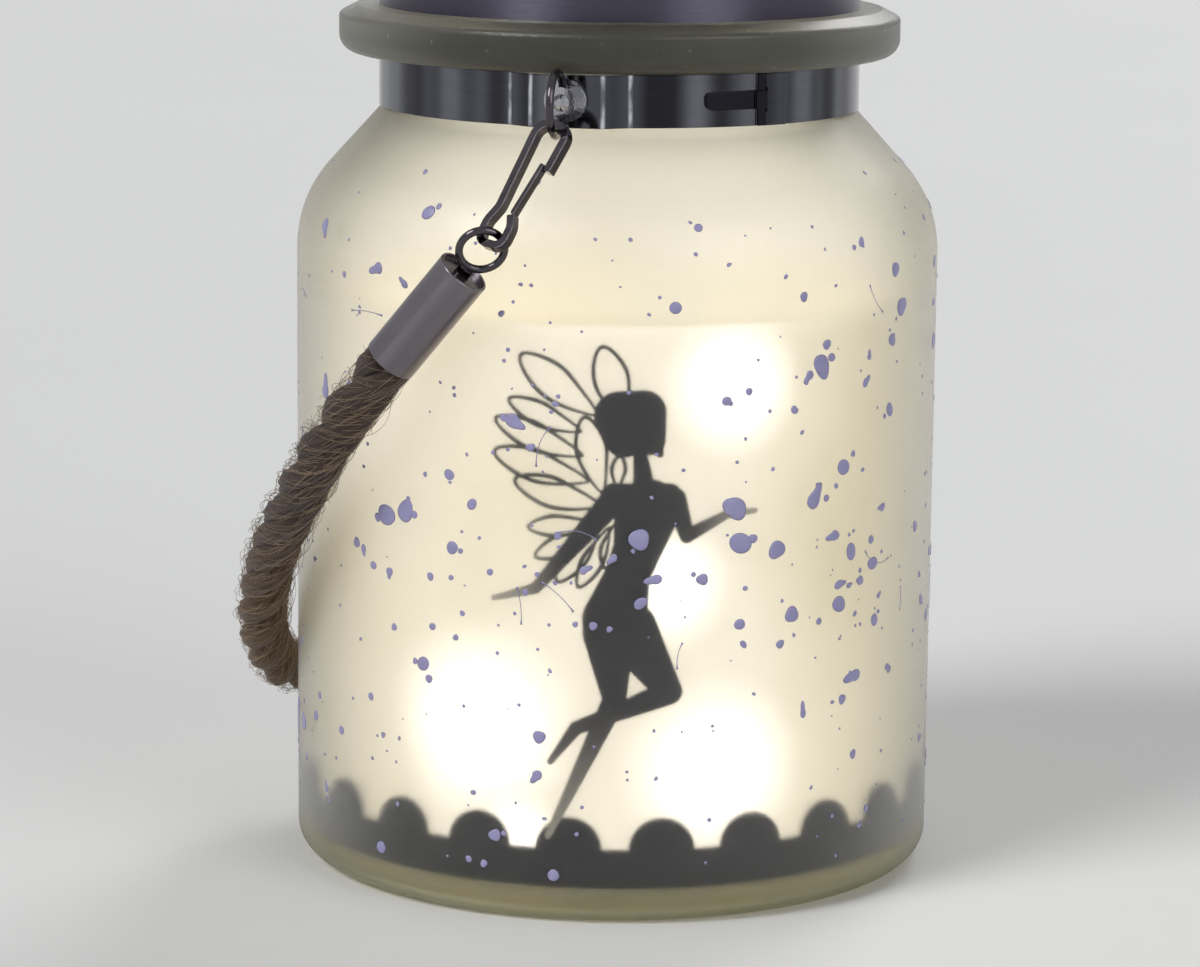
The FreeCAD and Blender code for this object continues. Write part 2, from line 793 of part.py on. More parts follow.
def make_band():
    """A strap with pressed-out bosses for the studs, closed by a tongue folded back through a slot."""
    middle = f"{BAND_FOOT} + band_height / 2"
    outside = fuse(
        "band_outside",
        [
            cylinder("band_round", BAND_OUTSIDE, "band_height", z=BAND_FOOT),
            boss_pair("bosses", "0", "0", "band_height", BAND_FOOT),
        ],
    )
    flank_rise = f"{BOSS_FACE} - sqrt(({BAND_OUTSIDE})^2 - (boss_foot_width / 2)^2)"
    flank_run = "(boss_foot_width - boss_width) / 2"
    narrower = f"band_thickness * tan(atan(({flank_rise}) / ({flank_run})) / 2)"
    room_height = f"band_height + 2 * {OVERRUN}"
    room_foot = f"{BAND_FOOT} - {OVERRUN}"
    room = fuse(
        "band_inside",
        [
            cylinder("neck_space", BAND_INSIDE, room_height, z=room_foot),
            boss_pair("boss_spaces", narrower, "band_thickness", room_height, room_foot),
        ],
    )
    strap = cut("strap", outside, room)
    lap = sector(
        "band_lap",
        f"{BAND_OUTSIDE} - band_thickness / 2",
        f"{BAND_OUTSIDE} + band_thickness",
        "band_height",
        BAND_FOOT,
        "lap_start",
        "lap_sweep",
    )
    slot = sector(
        "band_slot",
        BAND_OUTSIDE,
        f"{BAND_OUTSIDE} + 2 * band_thickness",
        "slot_height",
        f"{middle} - slot_height / 2",
        "lap_start + slot_offset",
        "slot_sweep",
    )
    tongue_foot = f"{middle} - tongue_height / 2"
    over_lap = f"{BAND_OUTSIDE} + band_thickness + tongue_gap"
    root = sector(
        "tongue_root",
        f"{BAND_OUTSIDE} - band_thickness / 2",
        f"{over_lap} + band_thickness",
        "tongue_height",
        tongue_foot,
        "lap_start + slot_offset",
        "slot_sweep / 2",
    )
    fold = sector(
        "tongue_fold",
        over_lap,
        f"{over_lap} + band_thickness",
        "tongue_height",
        tongue_foot,
        "lap_start - fold_sweep",
        "slot_offset + fold_sweep + slot_sweep / 2",
    )
    step = sector(
        "tongue_step",
        f"{BAND_OUTSIDE} + tongue_gap",
        f"{over_lap} + band_thickness",
        "tongue_height",
        tongue_foot,
        "lap_start - fold_sweep",
        "step_sweep",
    )
    flat = sector(
        "tongue_flat",
        f"{BAND_OUTSIDE} + tongue_gap",
        f"{BAND_OUTSIDE} + tongue_gap + band_thickness",
        "tongue_height",
        tongue_foot,
        "tongue_tip",
        "lap_start - fold_sweep + step_sweep - tongue_tip",
    )
    doc.recompute()
    tip = doc.addObject("Part::Fillet", "tongue_tip_round")
    tip.Base = flat
    tip_angle = mm("tongue_tip") - 90
    radius = mm("tongue_round")
    corners = []
    for index, edge in enumerate(flat.Shape.Edges, start=1):
        centre = edge.CenterOfMass
        angle = math.degrees(math.atan2(centre.y, centre.x))
        if abs(angle - tip_angle) < 1e-3 and edge.Length < 1.01 * mm("band_thickness"):
            corners.append((index, radius, radius))
    tip.Edges = corners
    stud_holes = turned(
        cylinder(
            "stud_holes", "stud_shank_radius + stud_running_fit", f"2 * ({BOSS_FACE} + {OVERRUN})"
        ),
        FreeCAD.Rotation(FreeCAD.Vector(1, 0, 0), 90),
    )
    place(stud_holes, "0", f"{BOSS_FACE} + {OVERRUN}", "pivot_height")
    lapped = cut("lapped_strap", fuse("strap_and_lap", [strap, lap]), slot)
    closed = fuse("closed_strap", [lapped, root, fold, step, tip])
    keep(cut("drilled_strap", closed, stud_holes), "neck_band")


# Handle: studs, rings, hooks, gates, eyes, ferrules and rope


def mirrored(vector, side):
    """A vector of the front half, or its mirror image for the back half."""
    return FreeCAD.Vector(vector.x, vector.y if side == "front" else -vector.y, vector.z)


def hang_direction(side_angle, out_angle):
    """A downward direction that leans to the left and outwards at the front of the jar."""
    side = math.radians(side_angle)
    out = math.radians(out_angle)
    return FreeCAD.Vector(-math.sin(side) * math.cos(out), -math.sin(out), -math.cos(side) * math.cos(out))


def facing(turn, along):
    """The direction square to along that comes nearest to facing this far right of the front."""
    face = FreeCAD.Vector(math.sin(math.radians(turn)), -math.cos(math.radians(turn)), 0)
    return (face - along * face.dot(along)).normalize()


def stand(origin, down, face, side):
    """A placement with local -Y along down and local Z along face, for the front or the back half."""
    up = mirrored(down * -1, side)
    out = mirrored(face, side) * (1 if side == "front" else -1)
    across = up.cross(out)
    rotation = FreeCAD.Rotation(across, up, out, "YZX")
    return FreeCAD.Placement(mirrored(origin, side), rotation)


def boss_face():
    """How far from the jar's axis the outside of a band boss lies."""
    band_inside = mm("neck_radius") + mm("band_gap")
    return band_inside + mm("band_thickness") + mm("boss_depth")


def chain():
    """Where the front half of the handle hangs: the origin and directions of each piece."""
    hole = boss_face() + mm("stud_running_fit") + mm("stud_collar_thickness") + mm("stud_hole_offset")
    ring = FreeCAD.Vector(0, -hole - mm("ring_radius") + mm("ring_bite"), mm("pivot_height"))
    reach = mm("jar_radius") + mm("link_stand_off") + ring.y
    hook_out_angle = math.degrees(math.asin(reach / mm("hook_length")))
    hook_down = hang_direction(mm("hook_side_angle"), hook_out_angle)
    hook_face = facing(mm("hook_face_turn"), hook_down)
    lowest = FreeCAD.Vector(0, hook_down.y, hook_down.z).normalize()
    seat = mm("ring_wire_radius") + mm("ring_link_gap") + mm("hook_thickness") / 2
    hook = ring + lowest * mm("ring_radius") - hook_down * seat
    hook_across = (hook_down * -1).cross(hook_face)
    heel = (mm("hook_heel_left") + mm("hook_heel_right")) / 2
    eye_seat = mm("hook_length") - mm("hook_thickness") / 2 - mm("eye_link_gap") - mm("eye_wire_radius")
    link = hook + hook_across * heel + hook_down * eye_seat
    ferrule_down = hang_direction(mm("ferrule_side_angle"), mm("ferrule_out_angle"))
    eye_face = facing(mm("eye_face_turn"), ferrule_down)
    towards_hook = (hook_down * -1 + eye_face * hook_down.dot(eye_face)).normalize()
    eye = link - towards_hook * mm("eye_radius")
    cap = eye + ferrule_down * (mm("eye_radius") + mm("eye_wire_radius") + mm("eye_neck"))
    return {
        "ring": ring,
        "hook": hook,
        "hook_down": hook_down,
        "hook_face": hook_face,
        "eye": eye,
        "eye_face": eye_face,
        "cap": cap,
        "ferrule_down": ferrule_down,
    }


def make_stud(side):
    """A turned rivet that swivels in the band, with a cross hole for the jump ring."""
    head_top = f"{BOSS_FACE} - band_thickness - stud_head_gap"
    collar_foot = f"{BOSS_FACE} + stud_running_fit"
    collar_top = f"{collar_foot} + stud_collar_thickness"
    end = f"{collar_top} + stud_barrel_length"
    body = new_body(f"stud_{side}")
    profile = outline(
        body,
        "XZ_Plane",
        f"stud_{side}_profile",
        [
            ("0", f"{head_top} - stud_head_thickness"),
            ("stud_head_radius", f"{head_top} - stud_head_thickness"),
            ("stud_head_radius", head_top),
            ("stud_shank_radius", head_top),
            ("stud_shank_radius", collar_foot),
            ("stud_collar_radius", collar_foot),
            ("stud_collar_radius", collar_top),
            ("stud_barrel_radius", collar_top),
            ("stud_barrel_radius", end),
            ("stud_dome_radius", end),
            ("stud_dome_radius / 2", f"{end} + stud_dome_rise"),
            ("0", f"{end} + stud_dome_rise"),
        ],
    )
    revolve(body, profile)
    hole = circle_outline(
        body,
        "XZ_Plane",
        f"stud_{side}_hole",
        [("0", f"{collar_top} + stud_hole_offset", "stud_hole_radius")],
    )
    body.Tip = drill(body, hole)
    turn = 90 if side == "front" else -90
    body.Placement = FreeCAD.Placement(
        FreeCAD.Vector(0, 0, mm("pivot_height")), FreeCAD.Rotation(FreeCAD.Vector(1, 0, 0), turn)
    )
    keep(body, f"stud_{side}")


def make_ring(side, places):
    ring = doc.addObject("Part::Torus", f"ring_{side}_wire")
    bind(ring, Radius1="ring_radius", Radius2="ring_wire_radius")
    ring.Placement = FreeCAD.Placement(
        mirrored(places["ring"], side), FreeCAD.Rotation(FreeCAD.Vector(0, 1, 0), 90)
    )
    keep(ring, f"jump_ring_{side}")


def strip_along(points, thickness, width, bend):
    """A flat strip bent along points in the XY plane, and as wide as said along Z."""
    path = [FreeCAD.Vector(x, y, 0) for x, y in points]
    wire, _ = rounded_route(path, bend)
    ahead = (path[1] - path[0]).normalize()
    across = FreeCAD.Vector(-ahead.y, ahead.x, 0) * (thickness / 2)
    up = FreeCAD.Vector(0, 0, width / 2)
    corners = [
        path[0] + across + up,
        path[0] - across + up,
        path[0] - across - up,
        path[0] + across - up,
    ]
    section = Part.makePolygon(corners + corners[:1])
    return wire.makePipeShell([section], True, False)


def gate_points():
    """The root and tip of a hook's spring gate, and the end of the hook's nose, in the hook's plane."""
    nose = FreeCAD.Vector(mm("hook_top_half_width") - mm("hook_nose_inset"), -mm("hook_nose"), 0)
    root_across = mm("hook_heel_right") - mm("gate_root_inset")
    root = FreeCAD.Vector(root_across, -mm("hook_waist") - mm("gate_root_drop"), 0)
    inset = (mm("hook_thickness") + mm("gate_thickness")) / 2 + mm("gate_gap")
    tip = FreeCAD.Vector(nose.x - inset, nose.y + mm("gate_overlap"), 0)
    return root, tip, nose


def make_hook(side, places):
    """A snap hook bent from one flat strip, from its nose round to the foot of its gate."""
    root, tip, nose = gate_points()
    half = mm("hook_top_half_width")
    left = mm("hook_heel_left")
    right = mm("hook_heel_right")
    foot = -mm("hook_length")
    waist = -mm("hook_waist")
    heel_top = waist - mm("hook_heel_rise")
    stub = root + (root - tip).normalize() * (mm("gate_thickness") / 2 + mm("gate_root_gap"))
    points = [
        (nose.x, nose.y),
        (half, 0),
        (-half, 0),
        (-half + mm("hook_back_inset"), waist),
        (left, heel_top),
        (left, foot),
        (right, foot),
        (right, heel_top),
        (stub.x, stub.y),
    ]
    hook = doc.addObject("Part::Feature", f"hook_{side}_strip")
    hook.Shape = strip_along(points, mm("hook_thickness"), mm("hook_width"), half)
    hook.Placement = stand(places["hook"], places["hook_down"], places["hook_face"], side)
    keep(hook, f"snap_hook_{side}")


def make_gate(side, places):
    """The hook's springy last length, round at its root, which gives way inwards to let a ring pass."""
    root, tip, _ = gate_points()
    leaf = doc.addObject("Part::Box", f"gate_{side}_leaf")
    bind(leaf, Length="gate_thickness", Width=str((tip - root).Length), Height="gate_width")
    place(leaf, "-gate_thickness / 2", "0", "-gate_width / 2")
    knuckle = cylinder(f"gate_{side}_knuckle", "gate_thickness / 2", "gate_width", z="-gate_width / 2")
    gate = fuse(f"gate_{side}", [leaf, knuckle])
    turn = FreeCAD.Rotation(FreeCAD.Vector(0, 1, 0), tip - root)
    hook_place = stand(places["hook"], places["hook_down"], places["hook_face"], side)
    gate.Placement = hook_place.multiply(FreeCAD.Placement(root, turn))
    keep(gate, f"hook_gate_{side}")


def make_eye(side, places):
    """A wire eye on a stem that turns in the ferrule's cap and is headed over inside it."""
    eye = doc.addObject("Part::Torus", f"eye_{side}_loop")
    bind(eye, Radius1="eye_radius", Radius2="eye_wire_radius")
    stem_length = "eye_wire_radius / 2 + eye_neck + ferrule_recess + ferrule_cap + 2 * close_fit"
    stem = turned(
        cylinder(f"eye_{side}_stem", "eye_stem_radius", stem_length),
        FreeCAD.Rotation(FreeCAD.Vector(1, 0, 0), 90),
    )
    place(stem, "0", "-(eye_radius + eye_wire_radius / 2)", "0")
    head = turned(
        cylinder(f"eye_{side}_head", "eye_head_radius", "eye_head_thickness"),
        FreeCAD.Rotation(FreeCAD.Vector(1, 0, 0), 90),
    )
    place(head, "0", f"-(eye_radius + eye_wire_radius / 2 + {stem_length})", "0")
    whole = fuse(f"eye_{side}", [eye, stem, head])
    whole.Placement = stand(places["eye"], places["ferrule_down"], places["eye_face"], side)
    keep(whole, f"swivel_eye_{side}")


def make_ferrule(side, places):
    """A drawn cup over the rope's end, with a hole for the eye's stem in its sunk cap."""
    body = new_body(f"ferrule_{side}")
    profile = outline(
        body,
        "XZ_Plane",
        f"ferrule_{side}_profile",
        [
            ("eye_stem_radius + close_fit", "-ferrule_recess"),
            ("ferrule_radius - ferrule_wall", "-ferrule_recess"),
            ("ferrule_radius - ferrule_wall", "0"),
            ("ferrule_radius", "0"),
            ("ferrule_radius", "-ferrule_length"),
            ("ferrule_radius - ferrule_wall", "-ferrule_length"),
            ("ferrule_radius - ferrule_wall", "-ferrule_recess - ferrule_cap"),
            ("eye_stem_radius + close_fit", "-ferrule_recess - ferrule_cap"),
        ],
    )
    cup = revolve(body, profile)
    round_edges(body, cup, mm("ferrule_radius"), 0, "ferrule_round")
    hang = stand(places["cap"], places["ferrule_down"], places["eye_face"], side)
    body.Placement = hang.multiply(
        FreeCAD.Placement(FreeCAD.Vector(), FreeCAD.Rotation(FreeCAD.Vector(1, 0, 0), -90))
    )
    keep(body, f"ferrule_{side}")


def make_rope(places):
    """A round tube between the ferrules, with thinner ends pressed up inside them."""
    mouth = places["cap"] + places["ferrule_down"] * mm("ferrule_length")
    start = mouth + places["ferrule_down"] * (2 * mm("rope_fit"))
    bend = mouth + places["ferrule_down"] * mm("rope_straight")
    points = [start, bend]
    points += [FreeCAD.Vector(*point) for point in ROPE_BEND]
    points += [mirrored(bend, "back"), mirrored(start, "back")]
    wire, radii = rounded_route(points)
    rope, share = round_tube(wire, mm("rope_radius"))
    print("rope length", round(wire.Length, 1), "volume share", round(share, 4))
    print("rope arc radii", [round(radius, 1) for radius in radii])
    end_radius = mm("ferrule_radius") - mm("ferrule_wall") - mm("rope_fit")
    for side in ("front", "back"):
        down = mirrored(places["ferrule_down"], side)
        foot = mirrored(bend, side) - down * (mm("rope_straight") / 2)
        length = mm("rope_straight") / 2 + mm("rope_in_ferrule")
        rope = rope.fuse(Part.makeCylinder(end_radius, length, foot, down * -1))
    handle = doc.addObject("Part::Feature", "rope_tube")
    handle.Shape = rope.removeSplitter()
    keep(handle, "rope_handle")


# Lid shell, housing, seal, bezel and panel

RIM_TOP = "flange_bottom + flange_thickness"
PLUG_FOOT = f"{RIM_TOP} - plug_depth"
COVER_TOP = f"{PLUG_FOOT} + cover_thickness"
DECK_TOP = f"{RIM_TOP} + deck_height"
DECK_FOOT = f"{DECK_TOP} - deck_thickness"
CELL_LEVEL = f"{COVER_TOP} + cell_floor_gap + cell_radius"


def make_shell():
    """A spun steel cap with a turned-in hem at its foot and a lip round the panel's opening."""
    foot = f"{RIM_TOP} + lid_gap"
    top = f"{foot} + lid_height"
    body = new_body("shell")
    profile = outline(
        body,
        "XZ_Plane",
        "shell_profile",
        [
            ("lid_radius - lid_hem_width", foot),
            ("lid_radius", foot),
            ("lid_radius", top),
            ("lid_radius - lid_lip", top),
            ("lid_radius - lid_lip", f"{top} - lid_wall"),
            ("lid_radius - lid_wall", f"{top} - lid_wall"),
            ("lid_radius - lid_wall", f"{foot} + lid_hem_height"),
            ("lid_radius - lid_hem_width", f"{foot} + lid_hem_height"),
        ],
    )
    shell = revolve(body, profile)
    level = mm("flange_bottom") + mm("flange_thickness") + mm("lid_gap") + mm("lid_height")
    shell = round_edges(body, shell, mm("lid_radius"), level, "lid_round")
    inside = mm("lid_radius") - mm("lid_wall")
    round_edges(body, shell, inside, level - mm("lid_wall"), "lid_round - lid_wall")
    keep(body, "lid_shell")


def post_places():
    """Where the cover's screw posts stand, one of them at the front."""
    count = int(mm("post_count"))
    for i in range(count):
        angle = math.radians(-90 + 360 * i / count)
        yield i, math.cos(angle), math.sin(angle)


def make_housing():
    """The lid's plastic cup: plug, brim and deck, with posts, bosses and saddles under the deck."""
    groove_foot = f"{PLUG_FOOT} + seal_groove_rise"
    brim_foot = f"{RIM_TOP} + lid_gap"
    body = new_body("housing")
    profile = outline(
        body,
        "XZ_Plane",
        "housing_profile",
        [
            ("0", DECK_TOP),
            ("plug_radius", DECK_TOP),
            ("plug_radius", f"{brim_foot} + brim_thickness"),
            ("lid_radius - lid_hem_width - brim_gap", f"{brim_foot} + brim_thickness"),
            ("lid_radius - lid_hem_width - brim_gap", brim_foot),
            ("plug_radius", brim_foot),
            ("plug_radius", f"{groove_foot} + seal_groove_height"),
            ("plug_radius - seal_groove_depth", f"{groove_foot} + seal_groove_height"),
            ("plug_radius - seal_groove_depth", groove_foot),
            ("plug_radius", groove_foot),
            ("plug_radius", PLUG_FOOT),
            ("room_radius", PLUG_FOOT),
            ("room_radius", DECK_FOOT),
            ("0", DECK_FOOT),
        ],
    )
    revolve(body, profile)
    added = [body]
    pilots = []
    for i, across, along in post_places():
        x = f"post_circle * {across}"
        y = f"post_circle * {along}"
        foot = f"{COVER_TOP} + part_gap"
        height = f"{DECK_TOP} - deck_thickness / 2 - ({foot})"
        added.append(cylinder(f"post{i}", "post_radius", height, x, y, foot))
        bore = "cover_screw_radius + close_fit"
        pilots.append(cylinder(f"post_pilot{i}", bore, "cover_screw_length + pilot_spare", x, y, foot))
    board_top = f"{DECK_FOOT} - board_drop"
    for name, hand in (("left", "-"), ("right", "+")):
        x = f"0 {hand} board_boss_spacing / 2"
        boss = f"board_boss_{name}"
        height = "board_drop + deck_thickness / 2"
        added.append(cylinder(boss, "board_boss_radius", height, x, "board_offset", board_top))
        pilot_length = "board_screw_length + pilot_spare"
        pilots.append(
            cylinder(
                f"{boss}_pilot",
                "board_screw_radius + close_fit",
                pilot_length,
                x,
                "board_offset",
                f"{board_top} - part_gap",
            )
        )
        saddle_height = "saddle_drop + deck_thickness / 2"
        saddle_foot = f"{DECK_FOOT} - saddle_drop"
        added.append(
            block(
                f"saddle_{name}",
                "saddle_thickness",
                "saddle_width",
                saddle_height,
                f"0 {hand} saddle_spacing / 2",
                "-cell_offset",
                saddle_foot,
            )
        )
        added.append(
            block(
                f"contact_stop_{name}",
                "saddle_thickness",
                "contact_width",
                saddle_height,
                f"0 {hand} ({STOP_END} - saddle_thickness / 2)",
                "-cell_offset",
                saddle_foot,
            )
        )
    cell_room = turned(
        cylinder("cell_room", "cell_radius + cell_seat_gap", "cell_length"),
        FreeCAD.Rotation(FreeCAD.Vector(0, 1, 0), 90),
    )
    place(cell_room, "-cell_length / 2", "-cell_offset", CELL_LEVEL)
    solid = fuse("housing_solid", added)
    keep(cut("housing", solid, fuse("housing_room", [cell_room] + pilots)), "lid_housing")


def make_seal():
    """A soft ring in the plug's groove, with two ribs that meet the jar's mouth."""
    groove_foot = f"{PLUG_FOOT} + seal_groove_rise"
    foot = f"{groove_foot} + seal_fit"
    top = f"{groove_foot} + seal_groove_height - seal_fit"
    inside = "plug_radius - seal_groove_depth + seal_fit"
    waist = f"{inside} + seal_base"
    lip = "mouth_radius - seal_clearance"
    body = new_body("seal")
    profile = outline(
        body,
        "XZ_Plane",
        "seal_profile",
        [
            (inside, foot),
            (lip, foot),
            (lip, f"{foot} + seal_rib"),
            (waist, f"{foot} + seal_rib"),
            (waist, f"{top} - seal_rib"),
            (lip, f"{top} - seal_rib"),
            (lip, top),
            (inside, top),
        ],
    )
    revolve(body, profile)
    keep(body, "seal_ring")


def make_bezel():
    """A plate between the deck and the shell's lip, with a square window round the panel."""
    plate = cylinder(
        "bezel_plate",
        "lid_radius - lid_round - bezel_gap",
        "bezel_thickness",
        z=f"{DECK_TOP} + part_gap / 2",
    )
    opening = "panel_size + 2 * panel_gap"
    depth = f"bezel_thickness + 2 * {OVERRUN}"
    window = block("bezel_window", opening, opening, depth, z=f"{DECK_TOP} - {OVERRUN}")
    keep(cut("bezel", plate, window), "panel_bezel")


def make_panel():
    panel = block(
        "panel", "panel_size", "panel_size", "panel_thickness", z=f"{DECK_TOP} + part_gap / 2"
    )
    keep(panel, "solar_panel")


# Cell and contacts


def make_cell():
    body = new_body("cell")
    profile = outline(
        body,
        "XZ_Plane",
        "cell_profile",
        [
            ("0", "-cell_length / 2"),
            ("cell_radius", "-cell_length / 2"),
            ("cell_radius", "cell_length / 2"),
            ("cell_button_radius", "cell_length / 2"),
            ("cell_button_radius", "cell_length / 2 + cell_button_length"),
            ("0", "cell_length / 2 + cell_button_length"),
        ],
    )
    revolve(body, profile)
    body.Placement.Rotation = FreeCAD.Rotation(FreeCAD.Vector(0, 1, 0), 90)
    place(body, "0", "-cell_offset", CELL_LEVEL)
    keep(body, "rechargeable_cell")


def make_contact(name, hand, reach):
    """A plate against its stop, with a pressed bump that touches the cell's end."""
    stop = "cell_length / 2 + cell_button_length + contact_bump_rise + contact_gap"
    plate = block(
        f"{name}_plate",
        "contact_thickness",
        "contact_width",
        "contact_height",
        f"{hand} * ({stop} + contact_thickness / 2)",
        "-cell_offset",
        f"{CELL_LEVEL} - contact_height / 2",
    )
    bump = doc.addObject("Part::Cone", f"{name}_bump")
    bind(
        bump,
        Radius1="contact_bump_radius",
        Radius2="contact_bump_radius / 2",
        Height=f"{reach} + contact_thickness / 2",
    )
    turned(bump, FreeCAD.Rotation(FreeCAD.Vector(0, 1, 0), -90 * hand))
    place(bump, f"{hand} * ({stop} + contact_thickness / 2)", "-cell_offset", CELL_LEVEL)
    keep(fuse(f"{name}_whole", [plate, bump]), name)


# Circuit board, its parts and its screws

BOARD_FOOT = f"{DECK_FOOT} - board_drop - board_thickness"


def board_screw_places():
    for name, hand in (("left", "-"), ("right", "+")):
        yield name, f"0 {hand} board_boss_spacing / 2"


def make_board():
    plate = block(
        "board_plate", "board_length", "board_width", "board_thickness", "0", "board_offset", BOARD_FOOT
    )
    holes = [
        cylinder(
            f"board_hole_{name}",
            "board_screw_radius + screw_clearance",
            f"board_thickness + 2 * {OVERRUN}",
            x,
            "board_offset",
            f"{BOARD_FOOT} - {OVERRUN}",
        )
        for name, x in board_screw_places()
    ]
    keep(cut("board", plate, fuse("board_holes", holes)), "circuit_board")


def make_board_parts():
    """The controller, the coil and the capacitor under the board."""
    chip = block(
        "chip",
        "chip_length",
        "chip_width",
        "chip_height",
        "chip_x",
        "board_offset + chip_y",
        f"{BOARD_FOOT} - chip_height",
    )
    coil = cylinder(
        "coil", "coil_radius", "coil_height", "coil_x", "board_offset + coil_y", f"{BOARD_FOOT} - coil_height"
    )
    capacitor = cylinder(
        "capacitor",
        "capacitor_radius",
        "capacitor_height",
        "capacitor_x",
        "board_offset + capacitor_y",
        f"{BOARD_FOOT} - capacitor_height",
    )
    keep(fuse("parts_on_board", [chip, coil, capacitor]), "board_parts")


def make_board_screws():
    screws = []
    for name, x in board_screw_places():
        head_foot = f"{BOARD_FOOT} - board_screw_head_height"
        head = cylinder(
            f"board_screw_head_{name}",
            "board_screw_head_radius",
            "board_screw_head_height",
            x,
            "board_offset",
            head_foot,
        )
        length = "board_screw_head_height + board_thickness + board_screw_length"
        shank = cylinder(
            f"board_screw_shank_{name}", "board_screw_radius", length, x, "board_offset", head_foot
        )
        screws += [head, shank]
    keep(fuse("board_screw_pair", screws), "board_screws")


# Bottom cover, screws, switch and grommet


def make_cover():
    """The disc that closes the plug's foot, with holes for screws, grommet and switch knob."""
    disc = cylinder("cover_disc", "room_radius - cover_gap", "cover_thickness", z=PLUG_FOOT)
    through = f"cover_thickness + 2 * {OVERRUN}"
    below = f"{PLUG_FOOT} - {OVERRUN}"
    holes = [
        cylinder(
            "grommet_hole",
            "grommet_neck_radius + close_fit",
            through,
            "0",
            "grommet_y",
            below,
        ),
        block(
            "knob_slot",
            "knob_size + knob_travel + 2 * knob_gap",
            "knob_size + 2 * knob_gap",
            through,
            "switch_x",
            "switch_y",
            below,
        ),
    ]
    for i, across, along in post_places():
        x = f"post_circle * {across}"
        y = f"post_circle * {along}"
        clear = "cover_screw_radius + screw_clearance"
        holes.append(cylinder(f"cover_hole{i}", clear, through, x, y, below))
        sink = "cover_screw_head_radius + screw_clearance"
        depth = f"cover_screw_head_height + {OVERRUN}"
        holes.append(cylinder(f"cover_sink{i}", sink, depth, x, y, below))
    keep(cut("cover", disc, fuse("cover_holes", holes)), "bottom_cover")


def make_cover_screws():
    screws = []
    for i, across, along in post_places():
        x = f"post_circle * {across}"
        y = f"post_circle * {along}"
        head = cylinder(
            f"cover_screw_head{i}", "cover_screw_head_radius", "cover_screw_head_height", x, y, PLUG_FOOT
        )
        length = "cover_thickness + part_gap + cover_screw_length"
        shank = cylinder(f"cover_screw_shank{i}", "cover_screw_radius", length, x, y, PLUG_FOOT)
        screws += [head, shank]
    keep(fuse("cover_screw_set", screws), "cover_screws")


def make_switch():
    """The slide switch's body on the cover, open below for its knob."""
    case = block(
        "switch_case",
        "switch_length",
        "switch_width",
        "switch_height",
        "switch_x",
        "switch_y",
        f"{COVER_TOP} + part_gap",
    )
    room = block(
        "switch_room",
        "knob_size + knob_travel + 2 * knob_gap",
        "knob_size + 2 * knob_gap",
        f"knob_depth + knob_gap + {OVERRUN}",
        "switch_x",
        "switch_y",
        f"{COVER_TOP} + part_gap - {OVERRUN}",
    )
    keep(cut("switch", case, room), "switch_body")


def make_knob():
    """The sliding knob, at the off end of its travel."""
    knob = block(
        "knob",
        "knob_size",
        "knob_size",
        "knob_proud + cover_thickness + part_gap + knob_depth",
        "switch_x - knob_travel / 2",
        "switch_y",
        f"{PLUG_FOOT} - knob_proud",
    )
    keep(knob, "switch_knob")


def make_grommet():
    body = new_body("grommet")
    half = "cover_thickness / 2 + close_fit"
    end = f"{half} + grommet_flange_thickness"
    profile = outline(
        body,
        "XZ_Plane",
        "grommet_profile",
        [
            ("grommet_bore_radius", f"-({end})"),
            ("grommet_flange_radius", f"-({end})"),
            ("grommet_flange_radius", f"-({half})"),
            ("grommet_neck_radius", f"-({half})"),
            ("grommet_neck_radius", half),
            ("grommet_flange_radius", half),
            ("grommet_flange_radius", end),
            ("grommet_bore_radius", end),
        ],
    )
    revolve(body, profile)
    place(body, "0", "grommet_y", f"{PLUG_FOOT} + cover_thickness / 2")
    keep(body, "wire_grommet")


# String of lamps


def wire_points():
    points = []
    for angle, radius, height in WIRE_ROUTE:
        turn = math.radians(angle)
        points.append(FreeCAD.Vector(radius * math.cos(turn), radius * math.sin(turn), height))
    return points


def make_lamps():
    points = wire_points()
    wire, radii = rounded_route(points)
    solid, share = round_tube(wire, mm("wire_radius"))
    print("lamp wire length", round(wire.Length, 1), "volume share", round(share, 4))
    print("lamp wire arc radii", [round(radius, 1) for radius in radii])
    lead = doc.addObject("Part::Feature", "lamp_wire_tube")
    lead.Shape = solid
    keep(lead, "lamp_wire")
    beads = doc.addObject("Part::Feature", "beads")
    beads.Shape = Part.Compound(
        [Part.makeSphere(mm("bead_radius"), (points[i] + points[i + 1]) / 2) for i in BEAD_RUN_NUMBERS]
    )
    keep(beads, "lamp_beads")


def check_and_write():
    """Stops on any failed object or bad shape, and then writes one file per sub-part."""
    doc.recompute()
    for item in doc.Objects:
        if "Invalid" in item.State or "Error" in item.State:
            raise RuntimeError(f"{item.Name} failed: {item.State}")
    for label, item in nodes.items():
        if item.Shape.isNull() or not item.Shape.isValid():
            raise RuntimeError(f"{label} has no valid shape")
        if not item.Shape.Solids:
            raise RuntimeError(f"{label} holds no solid")
    os.makedirs("parts", exist_ok=True)
    for label, item in nodes.items():
        item.Shape.exportStep(f"parts/{label}.step")
    print(len(nodes), "sub-parts written")


